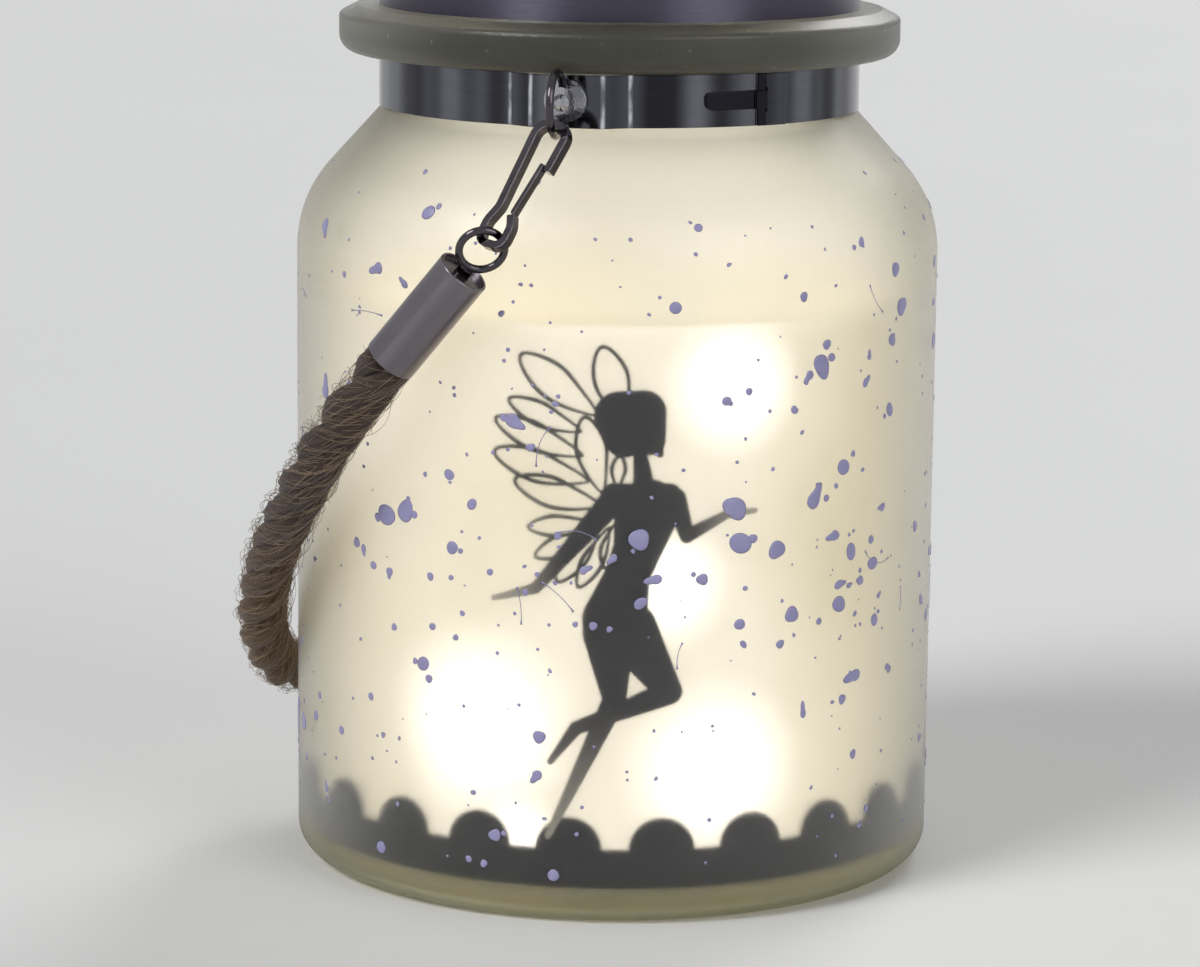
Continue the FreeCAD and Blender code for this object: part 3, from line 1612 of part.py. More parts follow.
make_jar()
make_film()
make_figure()
make_strip()
make_band()
handle_places = chain()
for half in ("front", "back"):
    make_stud(half)
    make_ring(half, handle_places)
    make_hook(half, handle_places)
    make_gate(half, handle_places)
    make_eye(half, handle_places)
    make_ferrule(half, handle_places)
make_rope(handle_places)
make_shell()
make_housing()
make_seal()
make_bezel()
make_panel()
make_cell()
make_contact("contact_positive", 1, "contact_bump_rise")
make_contact("contact_negative", -1, "contact_bump_rise + cell_button_length")
make_board()
make_board_parts()
make_board_screws()
make_cover()
make_cover_screws()
make_switch()
make_knob()
make_grommet()
make_lamps()
check_and_write()
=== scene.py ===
import math
import random

import bpy
from mathutils import Matrix, Vector


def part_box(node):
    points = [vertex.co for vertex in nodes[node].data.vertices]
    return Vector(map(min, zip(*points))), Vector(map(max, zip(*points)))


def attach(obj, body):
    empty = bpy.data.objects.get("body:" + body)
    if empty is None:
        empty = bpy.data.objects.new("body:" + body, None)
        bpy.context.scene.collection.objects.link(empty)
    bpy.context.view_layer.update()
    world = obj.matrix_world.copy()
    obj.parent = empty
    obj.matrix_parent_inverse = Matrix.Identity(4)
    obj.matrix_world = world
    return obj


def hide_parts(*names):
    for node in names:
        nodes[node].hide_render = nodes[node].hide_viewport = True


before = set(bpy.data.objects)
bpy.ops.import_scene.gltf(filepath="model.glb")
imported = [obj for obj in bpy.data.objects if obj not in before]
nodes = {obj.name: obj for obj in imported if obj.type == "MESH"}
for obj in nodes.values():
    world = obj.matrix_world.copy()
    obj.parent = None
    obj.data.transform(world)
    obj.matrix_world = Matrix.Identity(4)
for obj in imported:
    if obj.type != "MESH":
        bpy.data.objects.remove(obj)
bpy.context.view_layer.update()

# Mason jar lantern, dressed for the studio. Metres, +Z up, front at -Y.

MM = 0.001

# Camera, at the photograph's place and angle

CAMERA_PLACE = (0.148, -0.7275, 0.2005)
CAMERA_AZIMUTH = math.radians(11.5)
CAMERA_PITCH = math.radians(10.42)
CAMERA_ROLL = 0.0109
CAMERA_LENS = 130.2
CAMERA_SHIFT = -0.0123
SENSOR_WIDTH = 36
NEAREST_SEEN = 0.01


def make_camera():
    """The view that the photograph has of the lantern."""
    data = bpy.data.cameras.new("camera")
    data.sensor_fit = "HORIZONTAL"
    data.sensor_width = SENSOR_WIDTH
    data.lens = CAMERA_LENS
    data.shift_x = CAMERA_SHIFT
    data.clip_start = NEAREST_SEEN
    camera = bpy.data.objects.new("camera", data)
    bpy.context.scene.collection.objects.link(camera)
    turn = Matrix.Rotation(CAMERA_AZIMUTH, 4, "Z")
    tilt = Matrix.Rotation(math.pi / 2 - CAMERA_PITCH, 4, "X")
    roll = Matrix.Rotation(CAMERA_ROLL, 4, "Z")
    camera.matrix_world = Matrix.Translation(CAMERA_PLACE) @ turn @ tilt @ roll
    bpy.context.scene.camera = camera


# Node tree helpers

NOISE_ROUGHNESS = 0.55

# The Mix node's sockets for colours
MIX_FACTOR = 0
MIX_FIRST = 6
MIX_SECOND = 7
MIX_RESULT = 2


def put(tree, socket, value):
    """Links a socket to a value's socket, or sets it."""
    if isinstance(value, bpy.types.NodeSocket):
        tree.links.new(value, socket)
    elif isinstance(value, tuple) and len(value) == 3 and socket.type == "RGBA":
        socket.default_value = (*value, 1)
    else:
        socket.default_value = value


def add(tree, kind, settings=None, **inputs):
    """A new node with its settings and inputs, whose names may use _ for a space."""
    item = tree.nodes.new(kind)
    for name, value in (settings or {}).items():
        setattr(item, name, value)
    for name, value in inputs.items():
        put(tree, item.inputs[name.replace("_", " ")], value)
    return item


def mix(tree, factor, first, second, blend="MIX"):
    """A colour that goes from the first to the second by a factor."""
    item = add(tree, "ShaderNodeMix", {"data_type": "RGBA", "blend_type": blend})
    put(tree, item.inputs[MIX_FACTOR], factor)
    put(tree, item.inputs[MIX_FIRST], first)
    put(tree, item.inputs[MIX_SECOND], second)
    return item.outputs[MIX_RESULT]


def maths(tree, operation, first, second=0.0, clamp=False):
    """The result of an operation on one or two values."""
    item = add(tree, "ShaderNodeMath", {"operation": operation, "use_clamp": clamp})
    put(tree, item.inputs[0], first)
    put(tree, item.inputs[1], second)
    return item.outputs[0]


def weighted(tree, value, weight, offset):
    """A value times a weight, plus an offset."""
    item = add(tree, "ShaderNodeMath", {"operation": "MULTIPLY_ADD"})
    put(tree, item.inputs[0], value)
    item.inputs[1].default_value = weight
    put(tree, item.inputs[2], offset)
    return item.outputs[0]


def spread(tree, value, low, high, to_low=0.0, to_high=1.0):
    """Maps a value from one span to another, with soft ends."""
    settings = {"interpolation_type": "SMOOTHSTEP", "clamp": True}
    limits = {"From_Min": low, "From_Max": high, "To_Min": to_low, "To_Max": to_high}
    return add(tree, "ShaderNodeMapRange", settings, Value=value, **limits).outputs[0]


def place(tree):
    """The surface point's place in the object's own frame."""
    return add(tree, "ShaderNodeTexCoord").outputs["Object"]


def along(tree, axis):
    """One coordinate of the surface point's place."""
    return add(tree, "ShaderNodeSeparateXYZ", Vector=place(tree)).outputs[axis]


def noise(tree, scale, detail=4.0, stretch=(1, 1, 1), where=None):
    """Cloudy noise, stretched along the axes of the surface point's place or of another vector."""
    mapped = add(tree, "ShaderNodeMapping", Vector=where or place(tree), Scale=stretch)
    values = {"Scale": scale, "Detail": detail, "Roughness": NOISE_ROUGHNESS}
    return add(tree, "ShaderNodeTexNoise", Vector=mapped.outputs[0], **values).outputs["Fac"]


def cells(tree, scale):
    """Uneven cells, with each cell's own colour and the distance from its middle."""
    return add(tree, "ShaderNodeTexVoronoi", {"feature": "F1"}, Vector=place(tree), Scale=scale)


def raise_surface(tree, shader, height, distance, strength=1.0):
    """Gives a shader's surface a relief, by its height from 0 to 1 and that height's distance in metres."""
    item = add(tree, "ShaderNodeBump", Height=height, Distance=distance, Strength=strength)
    tree.links.new(item.outputs[0], shader.inputs["Normal"])


def material(name, **values):
    """A new material with its Principled shader's plain values set."""
    item = bpy.data.materials.new(name)
    item.use_nodes = True
    tree = item.node_tree
    shader = tree.nodes["Principled BSDF"]
    for key, value in values.items():
        put(tree, shader.inputs[key.replace("_", " ")], value)
    return item, tree, shader


# Glass and light

# The colours of the lamps' light, from dim to bright
GLOW_DIM = (1.0, 0.88, 0.58)
GLOW_WARM = (1.0, 0.92, 0.76)
GLOW_WHITE = (1.0, 0.96, 0.88)

# Heights on the jar, in metres
FILM_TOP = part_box("film_liner")[1].z
FLANGE_FOOT = 0.139
NECK_FOOT = 0.130
GREEN_FOOT_SPAN = (0.003, 0.008)

# Facing values between which the glass goes from seen flat on to seen edge-on
EDGE_ON_SPAN = (0.2, 0.75)

# Where the figure's paper gets a painted glow: the way it faces, its middle, and where its hands and lower
# legs lie
FIGURE_TURN = math.radians(11.5)
FIGURE_MIDDLE = 0.002
HAND_SPAN = (0.009, 0.021)
HAND_TOP_SPAN = (0.068, 0.073)
LEG_SPAN = (0.012, 0.038)
LEG_SHARE = 0.8
FIGURE_GLOW_LIGHT = 0.3

# Where each lamp's glow falls on the film: x, y and z in millimetres, and how far its white core reaches.
GLOW_SPOTS = (
    ((27.9, -41.5, 89.0), 14),
    ((17.6, -46.8, 56.5), 13),
    ((-12.6, -48.4, 32.0), 20),
    ((26.0, -42.7, 24.8), 18),
    ((-5.0, -49.7, 13.0), 9),
    ((-44.0, 24.0, 70.0), 15),
    ((20.0, 46.0, 60.0), 15),
    ((-24.0, 44.0, 28.0), 15),
)
HALO_REACH = 2.6
FILM_LIGHT = 0.6
HALO_LIGHT = 0.23
CORE_LIGHT = 0.95

# The light in the shoulder's glass: at the film's top, how much more at the neck, and the share at the sides
SHOULDER_LIGHT = 0.115
NECK_LIGHT = 0.015
SIDE_SHARE = 0.25

# Wide soft patches of light with no core: x, y and z in millimetres, and how far each reaches.
SOFT_SPOTS = (
    ((-30.0, -41.0, 82.0), 40),
    ((4.0, -51.0, 92.0), 30),
)


def fading(tree, centre, reach):
    """1 at a centre, fading to 0 at a distance from it, both in millimetres."""
    away = add(tree, "ShaderNodeVectorMath", {"operation": "DISTANCE"})
    put(tree, away.inputs[0], place(tree))
    put(tree, away.inputs[1], tuple(c * MM for c in centre))
    return spread(tree, away.outputs["Value"], 0.0, reach * MM, 1.0, 0.0)


def glow_levels(tree):
    """How bright each place is: the lamps' white cores and the wider halo round each, both from 0 to 1."""
    cores = 0.0
    halos = 0.0
    for centre, reach in GLOW_SPOTS:
        near = fading(tree, centre, reach)
        wide = fading(tree, centre, reach * HALO_REACH)
        cores = maths(tree, "ADD", near, cores, clamp=True)
        halos = maths(tree, "ADD", wide, halos, clamp=True)
    for centre, reach in SOFT_SPOTS:
        halos = maths(tree, "ADD", fading(tree, centre, reach), halos, clamp=True)
    return cores, halos


def film_material():
    """Tracing film with a painted glow that stands in for the lamps' light from behind."""
    item, tree, shader = material("diffuser_film", Roughness=0.6)
    cores, halos = glow_levels(tree)
    cloud = noise(tree, 28, 3)
    put(tree, shader.inputs["Base Color"], mix(tree, cloud, (0.34, 0.32, 0.27), (0.40, 0.38, 0.33)))
    glow = mix(tree, halos, GLOW_DIM, GLOW_WARM)
    put(tree, shader.inputs["Emission Color"], mix(tree, cores, glow, GLOW_WHITE))
    level = weighted(tree, halos, HALO_LIGHT, FILM_LIGHT)
    put(tree, shader.inputs["Emission Strength"], weighted(tree, cores, CORE_LIGHT, level))
    raise_surface(tree, shader, noise(tree, 900, 2), 0.05 * MM)
    return item


def shoulder_tint_and_shade(tree, higher, side_on):
    """Warm, and darker where the glass is seen edge-on, most of all near the neck: a painted shade."""
    shade = mix(tree, higher, (0.50, 0.475, 0.385), (0.15, 0.142, 0.098))
    return mix(tree, side_on, (0.86, 0.84, 0.77), shade)


def flange_tint_and_light(tree, height):
    """Grey, paler towards the top of the rim from painted light, with pale specks."""
    rim = spread(tree, height, FLANGE_FOOT + 3 * MM, FLANGE_FOOT + 9 * MM)
    grey = mix(tree, rim, (0.30, 0.294, 0.25), (0.52, 0.505, 0.42))
    speck = spread(tree, cells(tree, 260).outputs["Distance"], 0.04, 0.09, 1.0, 0.0)
    return mix(tree, speck, grey, (0.9, 0.9, 0.86))


def foot_tint(tree, side_on):
    """Olive, and greener where the glass is seen edge-on."""
    return mix(tree, side_on, (0.47, 0.44, 0.27), (0.33, 0.37, 0.25))


def shoulder_light(tree, height, higher, side_on, above_film):
    """How strongly the glass glows: only between the film's top and the neck, and less at the sides."""
    below_neck = spread(tree, height, NECK_FOOT - 8 * MM, NECK_FOOT + 4 * MM, 1.0, 0.0)
    lit = maths(tree, "MULTIPLY", above_film, below_neck)
    lit = maths(tree, "MULTIPLY", lit, spread(tree, side_on, 0.0, 1.0, 1.0, SIDE_SHARE))
    return maths(tree, "MULTIPLY", lit, weighted(tree, higher, NECK_LIGHT, SHOULDER_LIGHT))


def glass_material():
    """Frosted glass: a painted glow above the film, painted shade at the shoulder's sides and neck, greyer at
    its flange with painted light towards its top, and greener at its foot.
    """
    item, tree, shader = material("frosted_glass", IOR=1.45, Transmission_Weight=1.0, Specular_IOR_Level=0.15)
    height = along(tree, "Z")
    above_film = spread(tree, height, FILM_TOP - 3 * MM, FILM_TOP + 4 * MM)
    higher = spread(tree, height, FILM_TOP, NECK_FOOT)
    in_flange = spread(tree, height, FLANGE_FOOT - 2 * MM, FLANGE_FOOT + 1 * MM)
    in_foot = spread(tree, height, *GREEN_FOOT_SPAN, 1.0, 0.0)
    facing = add(tree, "ShaderNodeLayerWeight", Blend=0.5).outputs["Facing"]
    side_on = spread(tree, facing, *EDGE_ON_SPAN)
    tint = mix(tree, noise(tree, 22, 4), (0.90, 0.89, 0.85), (0.97, 0.96, 0.93))
    # Above the film the shoulder's tint carries painted shade at its sides and near the neck.
    tint = mix(tree, above_film, tint, shoulder_tint_and_shade(tree, higher, side_on))
    # In the flange, painted light makes the tint paler towards its top.
    tint = mix(tree, in_flange, tint, flange_tint_and_light(tree, height))
    tint = mix(tree, in_foot, tint, foot_tint(tree, side_on))
    put(tree, shader.inputs["Base Color"], tint)
    grain = noise(tree, 1400, 2)
    put(tree, shader.inputs["Roughness"], spread(tree, grain, 0.3, 0.7, 0.34, 0.42))
    # The shoulder's glass gets a painted glow.
    put(tree, shader.inputs["Emission Color"], mix(tree, higher, GLOW_WHITE, GLOW_WARM))
    light = shoulder_light(tree, height, higher, side_on, above_film)
    put(tree, shader.inputs["Emission Strength"], light)
    raise_surface(tree, shader, grain, 0.03 * MM)
    return item


def cutout_material(name):
    """Black paper with a faint tooth."""
    item, tree, shader = material(name, Roughness=0.9)
    fibre = noise(tree, 600, 3)
    put(tree, shader.inputs["Base Color"], mix(tree, fibre, (0.005, 0.005, 0.008), (0.011, 0.0105, 0.017)))
    raise_surface(tree, shader, fibre, 0.03 * MM)
    return item, tree, shader


def figure_material():
    """The same paper, with a painted glow at the figure's hands and lower legs, as if light came through."""
    item, tree, shader = cutout_material("cutout_painted_glow")
    across = add(tree, "ShaderNodeVectorMath", {"operation": "DOT_PRODUCT"})
    put(tree, across.inputs[0], place(tree))
    put(tree, across.inputs[1], (math.cos(FIGURE_TURN), math.sin(FIGURE_TURN), 0))
    aside = maths(tree, "ABSOLUTE", maths(tree, "SUBTRACT", across.outputs["Value"], FIGURE_MIDDLE))
    height = along(tree, "Z")
    below_top = spread(tree, height, *HAND_TOP_SPAN, 1.0, 0.0)
    hands = maths(tree, "MULTIPLY", spread(tree, aside, *HAND_SPAN), below_top)
    legs = spread(tree, height, *LEG_SPAN, LEG_SHARE, 0.0)
    # Painted glow: warm light given off at the hands and lower legs.
    thin = maths(tree, "MAXIMUM", hands, legs)
    put(tree, shader.inputs["Emission Color"], GLOW_WARM)
    put(tree, shader.inputs["Emission Strength"], maths(tree, "MULTIPLY", thin, FIGURE_GLOW_LIGHT))
    return item


def fleck_material():
    """Violet enamel, a little paler in places."""
    item, tree, shader = material("violet_paint", Roughness=0.35)
    tone = noise(tree, 300, 3)
    put(tree, shader.inputs["Base Color"], mix(tree, tone, (0.25, 0.235, 0.43), (0.36, 0.34, 0.55)))
    raise_surface(tree, shader, noise(tree, 1500, 2), 0.02 * MM)
    return item


# Metals

# The strap's bends, in degrees either side of each stud, and each painted highlight line's half width in
# radians
BOSS_BENDS = (8.0, 14.1)
BEND_SPAN = (0.001, 0.013)

# The strap's folded tongue: the radius that only it passes, and the angles of its tip and its fold
TONGUE_RADIUS = 0.04108
TONGUE_TIP = math.radians(-59)
TONGUE_FOLD = math.radians(-43)


def soft_edges(tree, shader, radius, height, distance):
    """Rounds the look of sharp edges, and adds a fine surface."""
    edge = add(tree, "ShaderNodeBevel", {"samples": 4}, Radius=radius)
    item = add(tree, "ShaderNodeBump", Height=height, Distance=distance, Normal=edge.outputs[0])
    tree.links.new(item.outputs[0], shader.inputs["Normal"])


def around(tree):
    """A place made of the angle round the jar's axis, the distance from it, and the height."""
    here = add(tree, "ShaderNodeSeparateXYZ", Vector=place(tree))
    angle = maths(tree, "ARCTAN2", here.outputs["Y"], here.outputs["X"])
    across = maths(tree, "MULTIPLY", here.outputs["X"], here.outputs["X"])
    deep = maths(tree, "MULTIPLY", here.outputs["Y"], here.outputs["Y"])
    radius = maths(tree, "SQRT", maths(tree, "ADD", across, deep))
    return add(tree, "ShaderNodeCombineXYZ", X=angle, Y=radius, Z=here.outputs["Z"]).outputs[0]


def tongue_mask(tree):
    """1 on the strap's folded tongue, which stands proud of the strap between two angles."""
    here = add(tree, "ShaderNodeSeparateXYZ", Vector=around(tree))
    proud = maths(tree, "GREATER_THAN", here.outputs["Y"], TONGUE_RADIUS)
    past_tip = maths(tree, "GREATER_THAN", here.outputs["X"], TONGUE_TIP)
    before_fold = maths(tree, "LESS_THAN", here.outputs["X"], TONGUE_FOLD)
    return maths(tree, "MULTIPLY", proud, maths(tree, "MULTIPLY", past_tip, before_fold))


def bend_highlight_mask(tree):
    """Up to 1 on the lines where the strap is bent out to make each stud's boss, unevenly: the painted
    highlights along the bends.
    """
    angle = add(tree, "ShaderNodeSeparateXYZ", Vector=around(tree)).outputs["X"]
    off_stud = maths(tree, "ABSOLUTE", maths(tree, "SUBTRACT", maths(tree, "ABSOLUTE", angle), math.pi / 2))
    lines = 0.0
    for bend in BOSS_BENDS:
        off_line = maths(tree, "ABSOLUTE", maths(tree, "SUBTRACT", off_stud, math.radians(bend)))
        lines = maths(tree, "MAXIMUM", spread(tree, off_line, *BEND_SPAN, 1.0, 0.0), lines)
    # The painted highlights are brighter in uneven patches.
    wear_and_glint = noise(tree, 1, 3, stretch=(26, 0, 240), where=around(tree))
    return maths(tree, "MULTIPLY", lines, spread(tree, wear_and_glint, 0.35, 0.65, 0.15, 0.9))


def band_material():
    """Polished strap, with a painted reflection in bands round it that is paler where scuffed, painted shade
    on its tongue and painted highlights at its bends.
    """
    item, tree, shader = material("bright_steel", Metallic=1.0)
    scuff = noise(tree, 1, 5, stretch=(5, 400, 2600), where=around(tree))
    # Painted reflection: dark and light bands round the strap stand in for what polished steel reflects.
    reflection_bands = spread(tree, noise(tree, 1, 1, stretch=(4.5, 0, 0), where=around(tree)), 0.36, 0.68)
    clean = mix(tree, reflection_bands, (0.02, 0.02, 0.025), (0.13, 0.135, 0.155))
    wear_and_glint = mix(tree, reflection_bands, (0.032, 0.032, 0.039), (0.18, 0.185, 0.21))
    strap = mix(tree, scuff, clean, wear_and_glint)
    # Painted highlight along each bend of the boss.
    strap = mix(tree, bend_highlight_mask(tree), strap, (0.72, 0.73, 0.80))
    # Painted shade: the tongue is darker than the rest of the strap.
    put(tree, shader.inputs["Base Color"], mix(tree, tongue_mask(tree), strap, (0.02, 0.02, 0.026)))
    put(tree, shader.inputs["Roughness"], spread(tree, scuff, 0.3, 0.8, 0.05, 0.14))
    soft_edges(tree, shader, 0.3 * MM, noise(tree, 40, 3), 0.06 * MM)
    return item


def nickel_material(name, dark, light, rough):
    """Dark plating, with a brown and violet cast."""
    item, tree, shader = material(name, Metallic=1.0)
    tone = noise(tree, 90, 4)
    put(tree, shader.inputs["Base Color"], mix(tree, tone, dark, light))
    wear_marks = noise(tree, 300, 3)
    put(tree, shader.inputs["Roughness"], spread(tree, wear_marks, 0.25, 0.75, rough, rough + 0.09))
    soft_edges(tree, shader, 0.22 * MM, noise(tree, 900, 2), 0.008 * MM)
    return item


def lid_material():
    """Steel brushed round and round."""
    item, tree, shader = material("brushed_lid", Metallic=1.0, Anisotropic=0.9, Anisotropic_Rotation=0.25)
    tangent = add(tree, "ShaderNodeTangent", {"direction_type": "RADIAL", "axis": "Z"})
    put(tree, shader.inputs["Tangent"], tangent.outputs[0])
    brushed = noise(tree, 1, 6, stretch=(6, 9000, 9000), where=around(tree))
    put(tree, shader.inputs["Base Color"], mix(tree, brushed, (0.06, 0.056, 0.08), (0.13, 0.122, 0.16)))
    put(tree, shader.inputs["Roughness"], spread(tree, brushed, 0.3, 0.7, 0.30, 0.40))
    raise_surface(tree, shader, brushed, 0.03 * MM, 0.5)
    return item


def plated_material(name, dark, light, rough):
    """Plain metal, a little uneven in tone."""
    item, tree, shader = material(name, Metallic=1.0)
    tone = noise(tree, 400, 4)
    put(tree, shader.inputs["Base Color"], mix(tree, tone, dark, light))
    put(tree, shader.inputs["Roughness"], spread(tree, tone, 0.3, 0.7, rough, rough + 0.14))
    raise_surface(tree, shader, noise(tree, 2500, 2), 0.02 * MM)
    return item


# Plastics and the like

# The solar panel's silver lines
FINGER_PITCH = 2.1 * MM
FINGER_WIDTH = 0.16 * MM
BAR_PITCH = 10.6 * MM
BAR_WIDTH = 0.7 * MM

# How deep the grain of smooth plastics is
GLOSS_DEPTH = 0.01 * MM
WRAP_DEPTH = 0.02 * MM

# Heights between which the rope goes from a painted warm light, as if lit by the jar's glow, to plain brown
JAR_GLOW_SPAN = (0.03, 0.07)


def moulded_material(name, dark, light, rough, grain=1800, depth=0.04 * MM):
    """Plain plastic, rubber or lacquer with a fine grain."""
    item, tree, shader = material(name)
    put(tree, shader.inputs["Base Color"], mix(tree, noise(tree, 140, 4), dark, light))
    fine = noise(tree, grain, 2)
    put(tree, shader.inputs["Roughness"], spread(tree, fine, 0.3, 0.7, rough, rough + 0.12))
    raise_surface(tree, shader, fine, depth)
    return item


def stripes(tree, axis, pitch, width):
    """1 on thin lines that repeat along one axis, which is counted from a metre off to stay above 0."""
    far = maths(tree, "ADD", along(tree, axis), 1.0)
    phase = maths(tree, "FRACT", maths(tree, "DIVIDE", far, pitch))
    return maths(tree, "LESS_THAN", phase, width / pitch)


def solar_material():
    """Dark blue cells under resin, with fine silver fingers across wider bars."""
    item, tree, shader = material("solar_cells", Roughness=0.12, Coat_Weight=1.0)
    flake = cells(tree, 260).outputs["Color"]
    blue = mix(tree, 0.35, (0.012, 0.016, 0.045), flake, "MULTIPLY")
    fingers = stripes(tree, "Y", FINGER_PITCH, FINGER_WIDTH)
    bars = stripes(tree, "X", BAR_PITCH, BAR_WIDTH)
    lines = maths(tree, "MAXIMUM", fingers, bars)
    put(tree, shader.inputs["Base Color"], mix(tree, lines, blue, (0.45, 0.46, 0.48)))
    raise_surface(tree, shader, lines, 0.05 * MM)
    return item


def bead_material():
    """Lit resin round a lamp."""
    item, tree, shader = material("warm_lamp", Roughness=0.2, Emission_Strength=2.0)
    warm = noise(tree, 500, 2)
    put(tree, shader.inputs["Base Color"], mix(tree, warm, (0.95, 0.82, 0.55), (1.0, 0.9, 0.68)))
    put(tree, shader.inputs["Emission Color"], mix(tree, warm, (1.0, 0.78, 0.42), (1.0, 0.86, 0.58)))
    return item


def jute_material():
    """Dry plant fibre, with a painted warm light low down, as if lit by the jar's glow: streaks along each
    yarn follow a tone stored on the mesh, which paints shade in the grooves between yarns.
    """
    item, tree, shader = material("jute", Roughness=0.92, Sheen_Weight=0.2)
    tone = add(tree, "ShaderNodeAttribute", {"attribute_name": "yarn"}).outputs["Fac"]
    blotch = noise(tree, 160, 4)
    level = weighted(tree, tone, 0.65, maths(tree, "MULTIPLY", blotch, 0.35))
    brown = mix(tree, level, (0.011, 0.007, 0.006), (0.082, 0.05, 0.036))
    # Painted light: low down the jute is warmer and brighter, as if lit by the jar's glow.
    glow_lit_jute = mix(tree, level, (0.02, 0.011, 0.005), (0.17, 0.098, 0.042))
    low = spread(tree, along(tree, "Z"), *JAR_GLOW_SPAN, 1.0, 0.0)
    put(tree, shader.inputs["Base Color"], mix(tree, low, brown, glow_lit_jute))
    raise_surface(tree, shader, noise(tree, 2200, 3), 0.12 * MM)
    return item


def hair_material():
    """The rope's loose hairs, some dark and some straw."""
    item, tree, shader = material("jute_hair", Roughness=0.9, Sheen_Weight=0.3)
    tone = noise(tree, 200, 3)
    put(tree, shader.inputs["Base Color"], mix(tree, tone, (0.05, 0.032, 0.019), (0.40, 0.28, 0.155)))
    return item


# Pieces


def wear(node, item):
    """Gives a CAD node its material."""
    mesh = nodes[node].data
    mesh.materials.clear()
    mesh.materials.append(item)


def piece(name, points, faces, body, item):
    """A new mesh piece in the object's frame, riding on a body."""
    mesh = bpy.data.meshes.new(name)
    mesh.from_pydata(points, [], faces)
    mesh.update()
    for polygon in mesh.polygons:
        polygon.use_smooth = True
    mesh.materials.append(item)
    made = bpy.data.objects.new(name, mesh)
    bpy.context.scene.collection.objects.link(made)
    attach(made, body)
    return made


def tube_faces(first, rings, sides):
    """The faces of a closed tube, whose points run ring by ring from a first one."""
    faces = []
    for ring in range(rings - 1):
        for k in range(sides):
            a = first + ring * sides + k
            b = first + ring * sides + (k + 1) % sides
            faces.append((a, b, b + sides, a + sides))
    faces.append(tuple(first + k for k in reversed(range(sides))))
    faces.append(tuple(first + (rings - 1) * sides + k for k in range(sides)))
    return faces


# Cords: the route of each is a smooth spline, and what is laid round it follows points read from that

ROPE_ROUTE = (
    (-25.8, -55.9, 92.9),
    (-34.1, -54.1, 83.1),
    (-42.8, -47.0, 70.5),
    (-54.0, -30.5, 53.5),
    (-61.0, -11.5, 36.0),
    (-61.0, 11.0, 23.5),
    (-52.0, 33.5, 29.0),
    (-44.5, 45.0, 50.0),
    (-39.0, 51.5, 69.0),
    (-34.1, 54.1, 83.1),
    (-25.8, 55.9, 92.9),
)
ROPE_RADIUS = 4.2 * MM
ROPE_SEED = 11
ROPE_STEPS = 26
STRAND_RADIUS = 0.56 * ROPE_RADIUS
TONE_SCATTER = 0.3

# Lengths in pitches of the lay: a cycle of drift, half a cycle of slack, and one turn of a strand's yarns
DRIFT_CYCLE = 1.37
HALF_SLACK_CYCLE = 0.61
YARN_TURN = 1.9

# The step in phase from strand to strand, in radians
STRAND_STEP = 2.1

# A strand's ridges: the shares of coarse and fine ones, how many more are fine, and how slack swells them
COARSE_SHARE = 0.6
FINE_SHARE = 0.4
EXTRA_RIDGES = 4
SLACK_SWELL = 0.7

# Groups of loose hairs: how many, the least and most length and lift in millimetres, and how far they wind
HAIR_GROUPS = (
    (700, 3.0, 8.0, 0.0, 0.4, 0.4),
    (800, 2.0, 6.0, 0.4, 1.5, 1.2),
    (240, 7.0, 16.0, 0.8, 3.2, 1.6),
)
HAIR_RADIUS = 0.04 * MM
HAIR_BEND_POINTS = 5
HAIR_ROOT = 0.96 * ROPE_RADIUS

# The lamp wire's route: angle from +X in degrees, distance from the jar's axis and height in millimetres.
WIRE_ROUTE = (
    (90, 1.5, 143.5),
    (90, 1.5, 130.0),
    (13, 13.3, 119.0),
    (8, 30.3, 105.0),
    (-8, 29.2, 86.1),
    (-52, 29.2, 82.9),
    (-100, 29.0, 78.6),
    (-150, 29.0, 74.3),
    (-200, 29.0, 70.0),
    (-250, 29.0, 65.7),
    (-300, 29.0, 61.4),
    (-350, 29.0, 57.1),
    (-398, 30.5, 52.9),
    (-441, 30.6, 49.7),
    (-471, 33.1, 28.0),
    (-499, 33.1, 25.6),
    (-545, 29.0, 24.7),
    (-595, 29.0, 23.8),
    (-645, 29.0, 22.9),
    (-695, 29.0, 22.0),
    (-745, 32.4, 21.5),
    (-781, 32.3, 20.5),
    (-807, 27.8, 10.2),
    (-840, 27.8, 8.8),
)
BEAD_RUNS = (4, 7, 9, 12, 14, 17, 20, 22)
WIRE_DIAMETER = 1.0 * MM
WIRE_STEPS = 16
DROP_LENGTH = 5.6 * MM
DROP_RADIUS = 1.7 * MM
DROP_END = 0.14
DROP_FULLNESS = 0.75
DROP_SIDES = 20
DROP_RINGS = 13


def wire_points():
    """The wire's route as points in metres."""
    points = []
    for angle, radius, height in WIRE_ROUTE:
        turn = math.radians(angle)
        points.append(Vector((radius * math.cos(turn), radius * math.sin(turn), height)) * MM)
    return points


def spline_line(points, steps):
    """The points of a smooth spline whose control points are the route's."""
    curve = bpy.data.curves.new("route", "CURVE")
    curve.dimensions = "3D"
    spline = curve.splines.new("NURBS")
    spline.points.add(len(points) - 1)
    for target, point in zip(spline.points, points):
        target.co = (*point, 1)
    spline.order_u = 3
    spline.use_endpoint_u = True
    spline.resolution_u = steps
    holder = bpy.data.objects.new("route", curve)
    mesh = bpy.data.meshes.new_from_object(holder)
    line = [vertex.co.copy() for vertex in mesh.vertices]
    bpy.data.meshes.remove(mesh)
    bpy.data.objects.remove(holder)
    bpy.data.curves.remove(curve)
    return line


